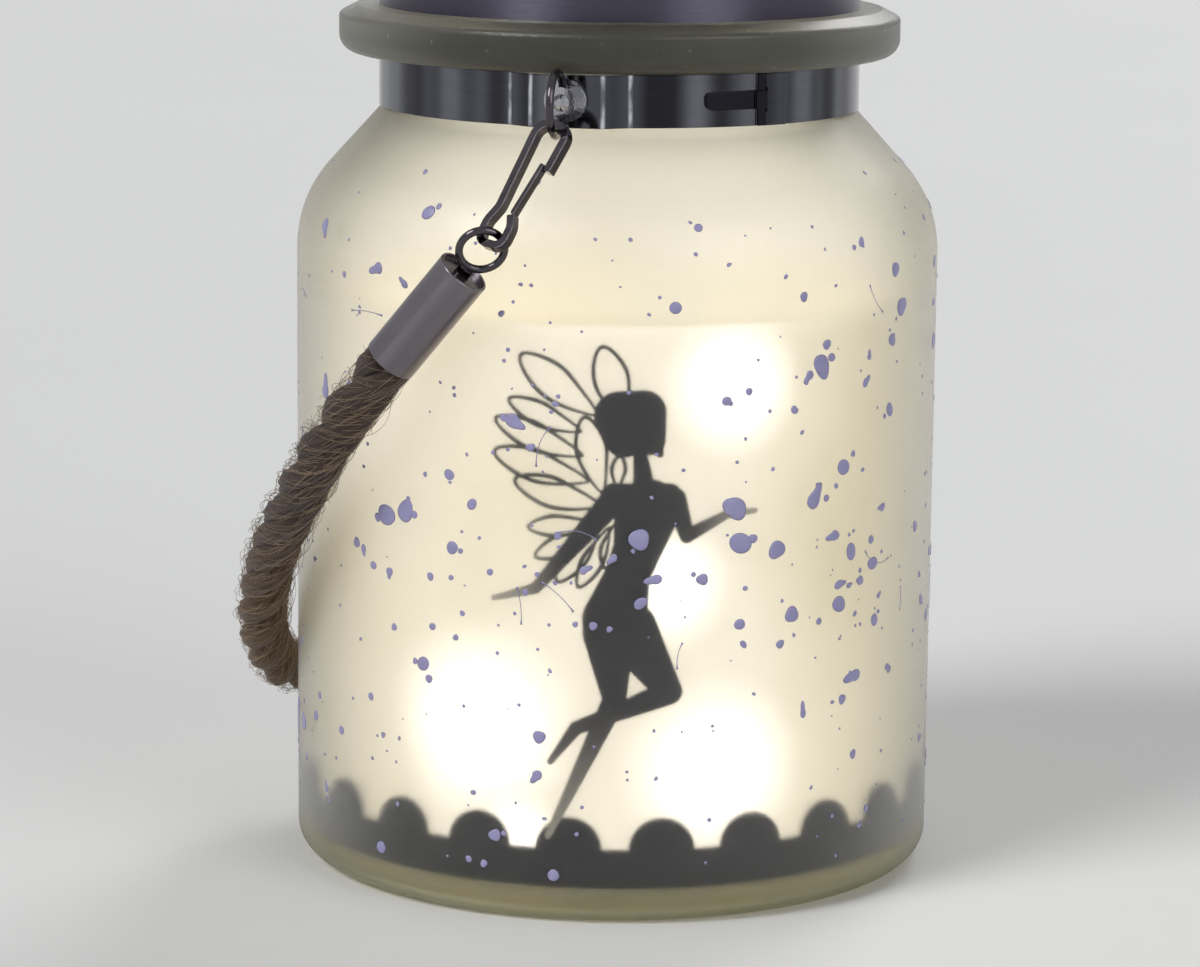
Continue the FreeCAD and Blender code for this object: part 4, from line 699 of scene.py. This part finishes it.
def carried_frames(line):
    """At each point of a line, its direction and two directions across it that don't twist."""
    frames = []
    side = None
    for i, point in enumerate(line):
        ahead = (line[min(i + 1, len(line) - 1)] - line[max(i - 1, 0)]).normalized()
        if side is None:
            side = ahead.orthogonal().normalized()
        side = (side - ahead * side.dot(ahead)).normalized()
        frames.append((point, ahead, side, ahead.cross(side)))
    return frames


def distances(line):
    """How far along the line each of its points lies."""
    total = [0.0]
    for before, after in zip(line, line[1:]):
        total.append(total[-1] + (after - before).length)
    return total


def strand_line(line, reach, strand, count, lay_radius, pitch, wander):
    """The middle line of one of the strands that wind round a line, wandering a little from an even lay."""
    centres = []
    for (centre, _, side, up), far in zip(carried_frames(line), reach):
        drift = wander * math.sin(2 * math.pi * far / (DRIFT_CYCLE * pitch) + STRAND_STEP * strand)
        turn = 2 * math.pi * (far / pitch + strand / count) + drift
        centres.append(centre + (side * math.cos(turn) + up * math.sin(turn)) * lay_radius)
    return centres


def laid_strands(line, count, lay_radius, strand_radius, pitch, sides, ridges=1, ridge_depth=0.0, wander=0.0):
    """Strands laid round a line, each ridged by its own yarns, as points, faces and a tone per point that is
    darker in the grooves between yarns, a painted shade.
    """
    points = []
    faces = []
    groove_shades = []
    reach = distances(line)
    for strand in range(count):
        centres = strand_line(line, reach, strand, count, lay_radius, pitch, wander)
        faces += tube_faces(len(points), len(line), sides)
        for (centre, _, side, up), far in zip(carried_frames(centres), reach):
            slack = math.sin(far / (HALF_SLACK_CYCLE * pitch) * math.pi + STRAND_STEP * strand)
            for k in range(sides):
                angle = 2 * math.pi * k / sides
                twist = angle - 2 * math.pi * far / (YARN_TURN * pitch)
                fine = FINE_SHARE * math.cos((ridges + EXTRA_RIDGES) * twist + slack)
                yarn = COARSE_SHARE * math.cos(ridges * twist) + fine
                radius = strand_radius * (1 + ridge_depth * (yarn + SLACK_SWELL * slack))
                points.append(centre + (side * math.cos(angle) + up * math.sin(angle)) * radius)
                # The tone follows the ridges: painted shade in the grooves, lighter on the crests.
                groove_shades.append(0.5 + 0.5 * yarn)
    return points, faces, groove_shades


def store_groove_shade(made, groove_shades):
    """Keeps a tone per point on the mesh, for the jute's material; it paints shade in the yarns' grooves."""
    layer = made.data.attributes.new("yarn", "FLOAT", "POINT")
    layer.data.foreach_set("value", groove_shades)


def add_hair(curve, rng, frames, shortest, longest, lowest, highest, sweep):
    """One loose hair, rooted at a random place on the rope."""
    point, ahead, side, up = frames[rng.randrange(2, len(frames) - 2)]
    angle = rng.uniform(0, 2 * math.pi)
    run = rng.uniform(shortest, longest) * MM
    lift = rng.uniform(lowest, highest) * MM
    lean = rng.choice((-1, 1))
    wind = sweep * rng.uniform(0.5, 1.5)
    peak = rng.uniform(0.7, 1.3)
    spline = curve.splines.new("NURBS")
    spline.points.add(HAIR_BEND_POINTS - 1)
    for i, target in enumerate(spline.points):
        t = i / (HAIR_BEND_POINTS - 1)
        turn = angle + lean * wind * t * run / ROPE_RADIUS
        out = side * math.cos(turn) + up * math.sin(turn)
        away = HAIR_ROOT + lift * math.sin(math.pi * min(1.0, t * peak))
        target.co = (*(point + ahead * lean * run * (t - 0.5) + out * away), 1)
    spline.order_u = 4
    spline.use_endpoint_u = True
    spline.resolution_u = 3


def rope_fibres(line, rng, item):
    """Loose hairs: some lie close along the strands, some make a short fuzz, and a few curl away."""
    curve = bpy.data.curves.new("rope_fibres", "CURVE")
    curve.dimensions = "3D"
    curve.bevel_depth = HAIR_RADIUS
    curve.bevel_resolution = 0
    curve.use_fill_caps = True
    frames = carried_frames(line)
    for count, *limits in HAIR_GROUPS:
        for _ in range(count):
            add_hair(curve, rng, frames, *limits)
    curve.materials.append(item)
    made = bpy.data.objects.new("rope_fibres", curve)
    bpy.context.scene.collection.objects.link(made)
    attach(made, "handle")
    return made


def make_rope():
    """Three strands of jute yarn, laid together between the ferrules, with loose hairs."""
    rng = random.Random(ROPE_SEED)
    route = [Vector(point) * MM for point in ROPE_ROUTE]
    line = spline_line(route, ROPE_STEPS)
    points, faces, groove_shades = laid_strands(
        line,
        count=3,
        lay_radius=ROPE_RADIUS - STRAND_RADIUS,
        strand_radius=STRAND_RADIUS,
        pitch=28 * MM,
        sides=42,
        ridges=9,
        ridge_depth=0.08,
        wander=0.4,
    )
    kept = 1 - TONE_SCATTER
    groove_shades = [min(1.0, max(0.0, tone * kept + TONE_SCATTER * rng.random())) for tone in groove_shades]
    rope = piece("jute_rope", points, faces, "handle", jute_material())
    store_groove_shade(rope, groove_shades)
    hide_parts("rope_handle")
    hairs = rope_fibres(line, rng, hair_material())


def drop(centre, ahead):
    """The points of a drop of clear resin drawn out along the wire, ring by ring."""
    side = ahead.orthogonal().normalized()
    up = ahead.cross(side)
    points = []
    for ring in range(DROP_RINGS):
        t = ring / (DROP_RINGS - 1)
        wide = DROP_RADIUS * (math.sin(math.pi * t) ** DROP_FULLNESS * (1 - DROP_END) + DROP_END)
        middle = centre + ahead * (t - 0.5) * DROP_LENGTH
        for k in range(DROP_SIDES):
            angle = 2 * math.pi * k / DROP_SIDES
            points.append(middle + (side * math.cos(angle) + up * math.sin(angle)) * wide)
    return points


def make_lamps():
    """A pair of lacquered wires laid together, with a drop of resin round each lamp."""
    route = wire_points()
    line = spline_line(route, WIRE_STEPS)
    strand = WIRE_DIAMETER / 4
    points, faces, _ = laid_strands(
        line, count=2, lay_radius=strand, strand_radius=strand, pitch=5 * MM, sides=8
    )
    lacquer = plated_material("wire_lacquer", (0.62, 0.55, 0.44), (0.78, 0.72, 0.62), 0.25)
    lead = piece("twin_wire", points, faces, "lid", lacquer)
    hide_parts("lamp_wire")
    points = []
    faces = []
    for run in BEAD_RUNS:
        middle = (route[run] + route[run + 1]) / 2
        ahead = (route[run + 1] - route[run]).normalized()
        faces += tube_faces(len(points), DROP_RINGS, DROP_SIDES)
        points += drop(middle, ahead)
    beads = piece("lamp_drops", points, faces, "lid", bead_material())
    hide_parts("lamp_beads")


# Paint flecks on the outside of the glass

# The glass's outside, in millimetres
BODY_RADIUS = 55.0
NECK_RADIUS = 40.4
FOOT_ROUNDING = 5.0
SHOULDER_FOOT = 113.8
SHOULDER_TOP = 129.93
SHOULDER_ROUNDING = 21.5
SHOULDER_LEAN = math.atan2(BODY_RADIUS - NECK_RADIUS, SHOULDER_TOP - SHOULDER_FOOT)

FLECK_SEED = 23

# Groups of flecks, from large splashes to dust: smallest and largest radius in millimetres, and how many
FLECK_GROUPS = (
    (1.2, 1.9, 34),
    (0.75, 1.2, 110),
    (0.4, 0.75, 190),
    (0.14, 0.38, 560),
)

# A fleck's dome: each ring's share of the radius, and its height over the glass in millimetres
DOME_RINGS = (
    (1.0, 0.01),
    (0.86, 0.10),
    (0.5, 0.16),
)

# A small fleck's dome is lower: its height is multiplied by the fleck's radius plus this, and never by over 1
LIFT_OFFSET = 0.2

# Flecks larger than this are round in more steps, and may have a tail of one of these lengths
LARGE_FLECK = 0.5
TAILS = (0, 0, 0, 0, 0, 0.7, 1.4)
TAIL_SHARPNESS = 9
TAIL_SIDES = 40
LARGE_SIDES = 22
SMALL_SIDES = 12

# A fleck's outline: how far it may be drawn out, how many lobes it has, and their greatest depth and phase
STRETCHES = (1.0, 1.0, 1.05, 1.15, 1.35)
LOBES = (2, 3)
LOBE_DEPTH = 0.09
LOBE_PHASE = 6.28

# Flecks larger than this may have a smaller one close by
SPLASH_SIZE = 0.9
SPLASH_CHANCE = 0.4
SPLASH_SHARE = 0.45
SPLASH_GAP = 0.5
SPLASH_SCATTER = 1.5

# Where flecks lie, in millimetres: some at any height, and the others around a middle height
EVEN_CHANCE = 0.5
EVEN_HEIGHTS = (8, 122)
BUNCHED_HEIGHTS = (7, 126, 58)

# Threads: where they lie, how long they are and how they lie on the glass, in millimetres
THREAD_COUNT = 26
THREAD_STEPS = 24
THREAD_HEIGHTS = (30, 105)
THREAD_LENGTHS = (3.0, 9.0)
THREAD_HALF_WIDTH = 0.07
THREAD_END_WIDTH = 0.16
THREAD_EDGE = 0.01
THREAD_RIDGE = 0.07

# How far a thread may curl, in radians
THREAD_CURL = 2.2


def jar_surface(height):
    """The glass's outside radius at a height, and how steeply the direction out of the glass rises there."""
    if height < FOOT_ROUNDING:
        drop_in = FOOT_ROUNDING - height
        rise = math.sqrt(max(FOOT_ROUNDING**2 - drop_in**2, 0.01))
        return BODY_RADIUS - FOOT_ROUNDING + rise, -drop_in / rise
    start = SHOULDER_FOOT - SHOULDER_ROUNDING * math.tan(SHOULDER_LEAN / 2)
    if height < start:
        return BODY_RADIUS, 0.0
    middle = BODY_RADIUS - SHOULDER_ROUNDING
    end = start + SHOULDER_ROUNDING * math.sin(SHOULDER_LEAN)
    if height < end:
        up = height - start
        inward = math.sqrt(SHOULDER_ROUNDING**2 - up**2)
        return middle + inward, up / inward
    at_end = middle + SHOULDER_ROUNDING * math.cos(SHOULDER_LEAN)
    slope = math.tan(SHOULDER_LEAN)
    return at_end - (height - end) * slope, slope


def on_glass(angle, height, proud):
    """A point just outside the glass, from millimetres and an angle that goes from the front towards +X."""
    radius, slope = jar_surface(height)
    tilt = math.atan(slope)
    radius += proud * math.cos(tilt)
    height += proud * math.sin(tilt)
    return Vector((radius * math.sin(angle), -radius * math.cos(angle), height)) * MM


def fleck_sides(size, tail):
    """How many points go round a fleck."""
    if tail:
        return TAIL_SIDES
    return LARGE_SIDES if size > LARGE_FLECK else SMALL_SIDES


def fleck(rng, angle, height, size):
    """The rings of one splash of paint: a low dome with an uneven outline, sometimes with a tail."""
    tail = rng.choice(TAILS) if size > LARGE_FLECK else 0
    sides = fleck_sides(size, tail)
    heading = rng.uniform(0, 2 * math.pi)
    longer = rng.choice(STRETCHES)
    lobes = [(rng.uniform(0, LOBE_DEPTH), count, rng.uniform(0, LOBE_PHASE)) for count in LOBES]
    flatten = math.cos(math.atan(jar_surface(height)[1]))
    lower = min(1.0, size + LIFT_OFFSET)
    rows = []
    for share, lift in DOME_RINGS:
        row = []
        for k in range(sides):
            turn = 2 * math.pi * k / sides
            reach = size * share
            reach *= 1 + sum(depth * math.cos(count * turn + phase) for depth, count, phase in lobes)
            reach *= 1 + tail * max(0.0, math.cos(turn)) ** TAIL_SHARPNESS
            x = math.cos(turn) * reach * longer
            y = math.sin(turn) * reach
            across = x * math.cos(heading) - y * math.sin(heading)
            upward = x * math.sin(heading) + y * math.cos(heading)
            rise = height + upward * flatten
            radius = jar_surface(rise)[0]
            row.append(on_glass(angle + across / radius, rise, lift * lower))
        rows.append(row)
    return rows


def thread(rng, angle, height):
    """A fine string of paint that curves over the glass: its left edge, its ridge and its right edge."""
    heading = rng.uniform(0, 2 * math.pi)
    curl = rng.uniform(-THREAD_CURL, THREAD_CURL)
    length = rng.uniform(*THREAD_LENGTHS)
    radius = jar_surface(height)[0]
    left = []
    ridge = []
    right = []
    across = 0.0
    upward = 0.0
    for i in range(THREAD_STEPS + 1):
        t = i / THREAD_STEPS
        turn = heading + curl * t
        across += math.cos(turn) * length / THREAD_STEPS
        upward += math.sin(turn) * length / THREAD_STEPS
        half = THREAD_HALF_WIDTH + THREAD_END_WIDTH * (2 * t - 1) ** 6
        edges = ((left, half, THREAD_EDGE), (ridge, 0.0, THREAD_RIDGE), (right, -half, THREAD_EDGE))
        for row, sideways, lift in edges:
            x = across - math.sin(turn) * sideways
            z = upward + math.cos(turn) * sideways
            row.append(on_glass(angle + x / radius, height + z, lift))
    return left, ridge, right


def thread_faces(first, count):
    """The faces of a closed thread, whose three lines of points follow each other from a first one."""
    faces = []
    for i in range(count - 1):
        for row, next_row in ((0, count), (count, 2 * count), (2 * count, 0)):
            a = first + row + i
            b = first + next_row + i
            faces.append((a, a + 1, b + 1, b))
    faces.append((first, first + count, first + 2 * count))
    faces.append((first + 3 * count - 1, first + 2 * count - 1, first + count - 1))
    return faces


def fleck_sizes(rng):
    """The radius of each fleck, in millimetres."""
    sizes = []
    for smallest, largest, count in FLECK_GROUPS:
        sizes += [rng.uniform(smallest, largest) for _ in range(count)]
    return sizes


def fleck_height(rng):
    """A height for a fleck, in millimetres."""
    if rng.random() < EVEN_CHANCE:
        return rng.uniform(*EVEN_HEIGHTS)
    return rng.triangular(*BUNCHED_HEIGHTS)


def make_flecks():
    """Violet paint spattered over the whole jar, with some fine threads of it."""
    rng = random.Random(FLECK_SEED)
    points = []
    faces = []

    def add_fleck(angle, height, size):
        """Adds one fleck's points and faces."""
        rows = fleck(rng, angle, height, size)
        faces.extend(tube_faces(len(points), len(rows), len(rows[0])))
        for row in rows:
            points.extend(row)

    for size in fleck_sizes(rng):
        angle = rng.uniform(-math.pi, math.pi)
        height = fleck_height(rng)
        add_fleck(angle, height, size)
        if size > SPLASH_SIZE and rng.random() < SPLASH_CHANCE:
            beside = rng.choice((-1, 1)) * (size + SPLASH_GAP) / BODY_RADIUS
            above = rng.uniform(-SPLASH_SCATTER, SPLASH_SCATTER)
            add_fleck(angle + beside, height + above, size * SPLASH_SHARE)
    for _ in range(THREAD_COUNT):
        angle = rng.uniform(-math.pi, math.pi)
        left, ridge, right = thread(rng, angle, rng.uniform(*THREAD_HEIGHTS))
        faces += thread_faces(len(points), len(left))
        points += left + ridge + right
    piece("paint_flecks", points, faces, "jar", fleck_material())


# Studio

FLOOR_REACH = 6.0
WORLD_COLOUR = (0.93, 0.95, 1.0, 1)
WORLD_LIGHT = 0.2
WORLD_SEEN = 0.42

# Each lamp's name, the direction it shines from, how wide it is in degrees, and its strength
SUNS = (
    ("key", (-0.9, -1.1, 1.2), 26, 1.7),
    ("fill", (1.3, -0.9, 0.7), 38, 0.8),
    ("rim", (0.3, 1.3, 0.9), 27, 0.9),
)


def make_stage():
    """A plain pale floor."""
    reach = FLOOR_REACH
    points = [(-reach, -reach, 0), (reach, -reach, 0), (reach, reach, 0), (-reach, reach, 0)]
    mesh = bpy.data.meshes.new("floor")
    mesh.from_pydata(points, [], [(0, 1, 2, 3)])
    floor = bpy.data.objects.new("floor", mesh)
    bpy.context.scene.collection.objects.link(floor)
    item, tree, shader = material("floor", Roughness=0.7)
    tone = noise(tree, 3, 3)
    put(tree, shader.inputs["Base Color"], mix(tree, tone, (0.78, 0.78, 0.77), (0.81, 0.81, 0.80)))
    mesh.materials.append(item)


def soft_sun(name, direction, spread_angle, strength):
    """An even, distant lamp that shines from a direction, as wide as an angle in degrees."""
    data = bpy.data.lights.new(name, "SUN")
    data.angle = math.radians(spread_angle)
    data.energy = strength
    light = bpy.data.objects.new(name, data)
    bpy.context.scene.collection.objects.link(light)
    light.location = direction
    light.rotation_euler = Vector(direction).to_track_quat("Z", "Y").to_euler()


def make_lights():
    """Three soft lamps, and a world that looks as pale as the floor but lights the object less."""
    world = bpy.data.worlds.new("studio")
    world.use_nodes = True
    tree = world.node_tree
    background = tree.nodes["Background"]
    background.inputs["Color"].default_value = WORLD_COLOUR
    rays = add(tree, "ShaderNodeLightPath").outputs
    seen = maths(tree, "MAXIMUM", rays["Is Camera Ray"], rays["Is Glossy Ray"])
    seen = maths(tree, "MAXIMUM", seen, rays["Is Transmission Ray"])
    put(tree, background.inputs["Strength"], weighted(tree, seen, WORLD_SEEN, WORLD_LIGHT))
    bpy.context.scene.world = world
    for sun in SUNS:
        soft_sun(*sun)


# Materials of the CAD nodes


def dress_nodes():
    """Gives every CAD node its material, apart from those that a piece above replaces."""
    black = moulded_material("black_plastic", (0.018, 0.018, 0.02), (0.035, 0.035, 0.038), 0.5)
    component = moulded_material("component_black", (0.03, 0.03, 0.03), (0.06, 0.06, 0.06), 0.45)
    seal = moulded_material("clear_seal", (0.55, 0.55, 0.53), (0.68, 0.68, 0.66), 0.4)
    white = moulded_material("white_plastic", (0.7, 0.7, 0.68), (0.8, 0.8, 0.78), 0.4)
    gloss = moulded_material("gloss_black", (0.012, 0.012, 0.014), (0.02, 0.02, 0.023), 0.1, 900, GLOSS_DEPTH)
    wrap = moulded_material("cell_wrap", (0.06, 0.26, 0.12), (0.1, 0.34, 0.17), 0.22, 700, WRAP_DEPTH)
    laminate = moulded_material("board_laminate", (0.02, 0.16, 0.07), (0.04, 0.22, 0.1), 0.3, 900)
    nickel = nickel_material("dark_nickel", (0.06, 0.053, 0.06), (0.115, 0.103, 0.112), 0.06)
    satin = nickel_material("satin_nickel", (0.16, 0.142, 0.156), (0.235, 0.212, 0.228), 0.19)
    screw = plated_material("screw_steel", (0.42, 0.42, 0.43), (0.6, 0.6, 0.62), 0.25)
    stud = plated_material("stud_steel", (0.34, 0.34, 0.37), (0.5, 0.5, 0.53), 0.08)
    contact = plated_material("contact_metal", (0.58, 0.53, 0.44), (0.74, 0.69, 0.6), 0.2)
    paper = cutout_material("black_cutout")[0]
    dressed = {
        "glass_jar": glass_material(),
        "film_liner": film_material(),
        "winged_figure": figure_material(),
        "scalloped_strip": paper,
        "neck_band": band_material(),
        "lid_shell": lid_material(),
        "lid_housing": black,
        "bottom_cover": black,
        "seal_ring": seal,
        "wire_grommet": seal,
        "panel_bezel": gloss,
        "solar_panel": solar_material(),
        "rechargeable_cell": wrap,
        "contact_positive": contact,
        "contact_negative": contact,
        "circuit_board": laminate,
        "board_parts": component,
        "board_screws": screw,
        "cover_screws": screw,
        "switch_body": component,
        "switch_knob": white,
    }
    for node, item in dressed.items():
        wear(node, item)
    for side in ("front", "back"):
        wear(f"stud_{side}", stud)
        wear(f"ferrule_{side}", satin)
        for name in ("jump_ring", "snap_hook", "hook_gate", "swivel_eye"):
            wear(f"{name}_{side}", nickel)


make_camera()
make_rope()
make_lamps()
make_stage()
make_lights()
dress_nodes()
make_flecks()

bpy.context.scene.view_settings.view_transform = "Standard"
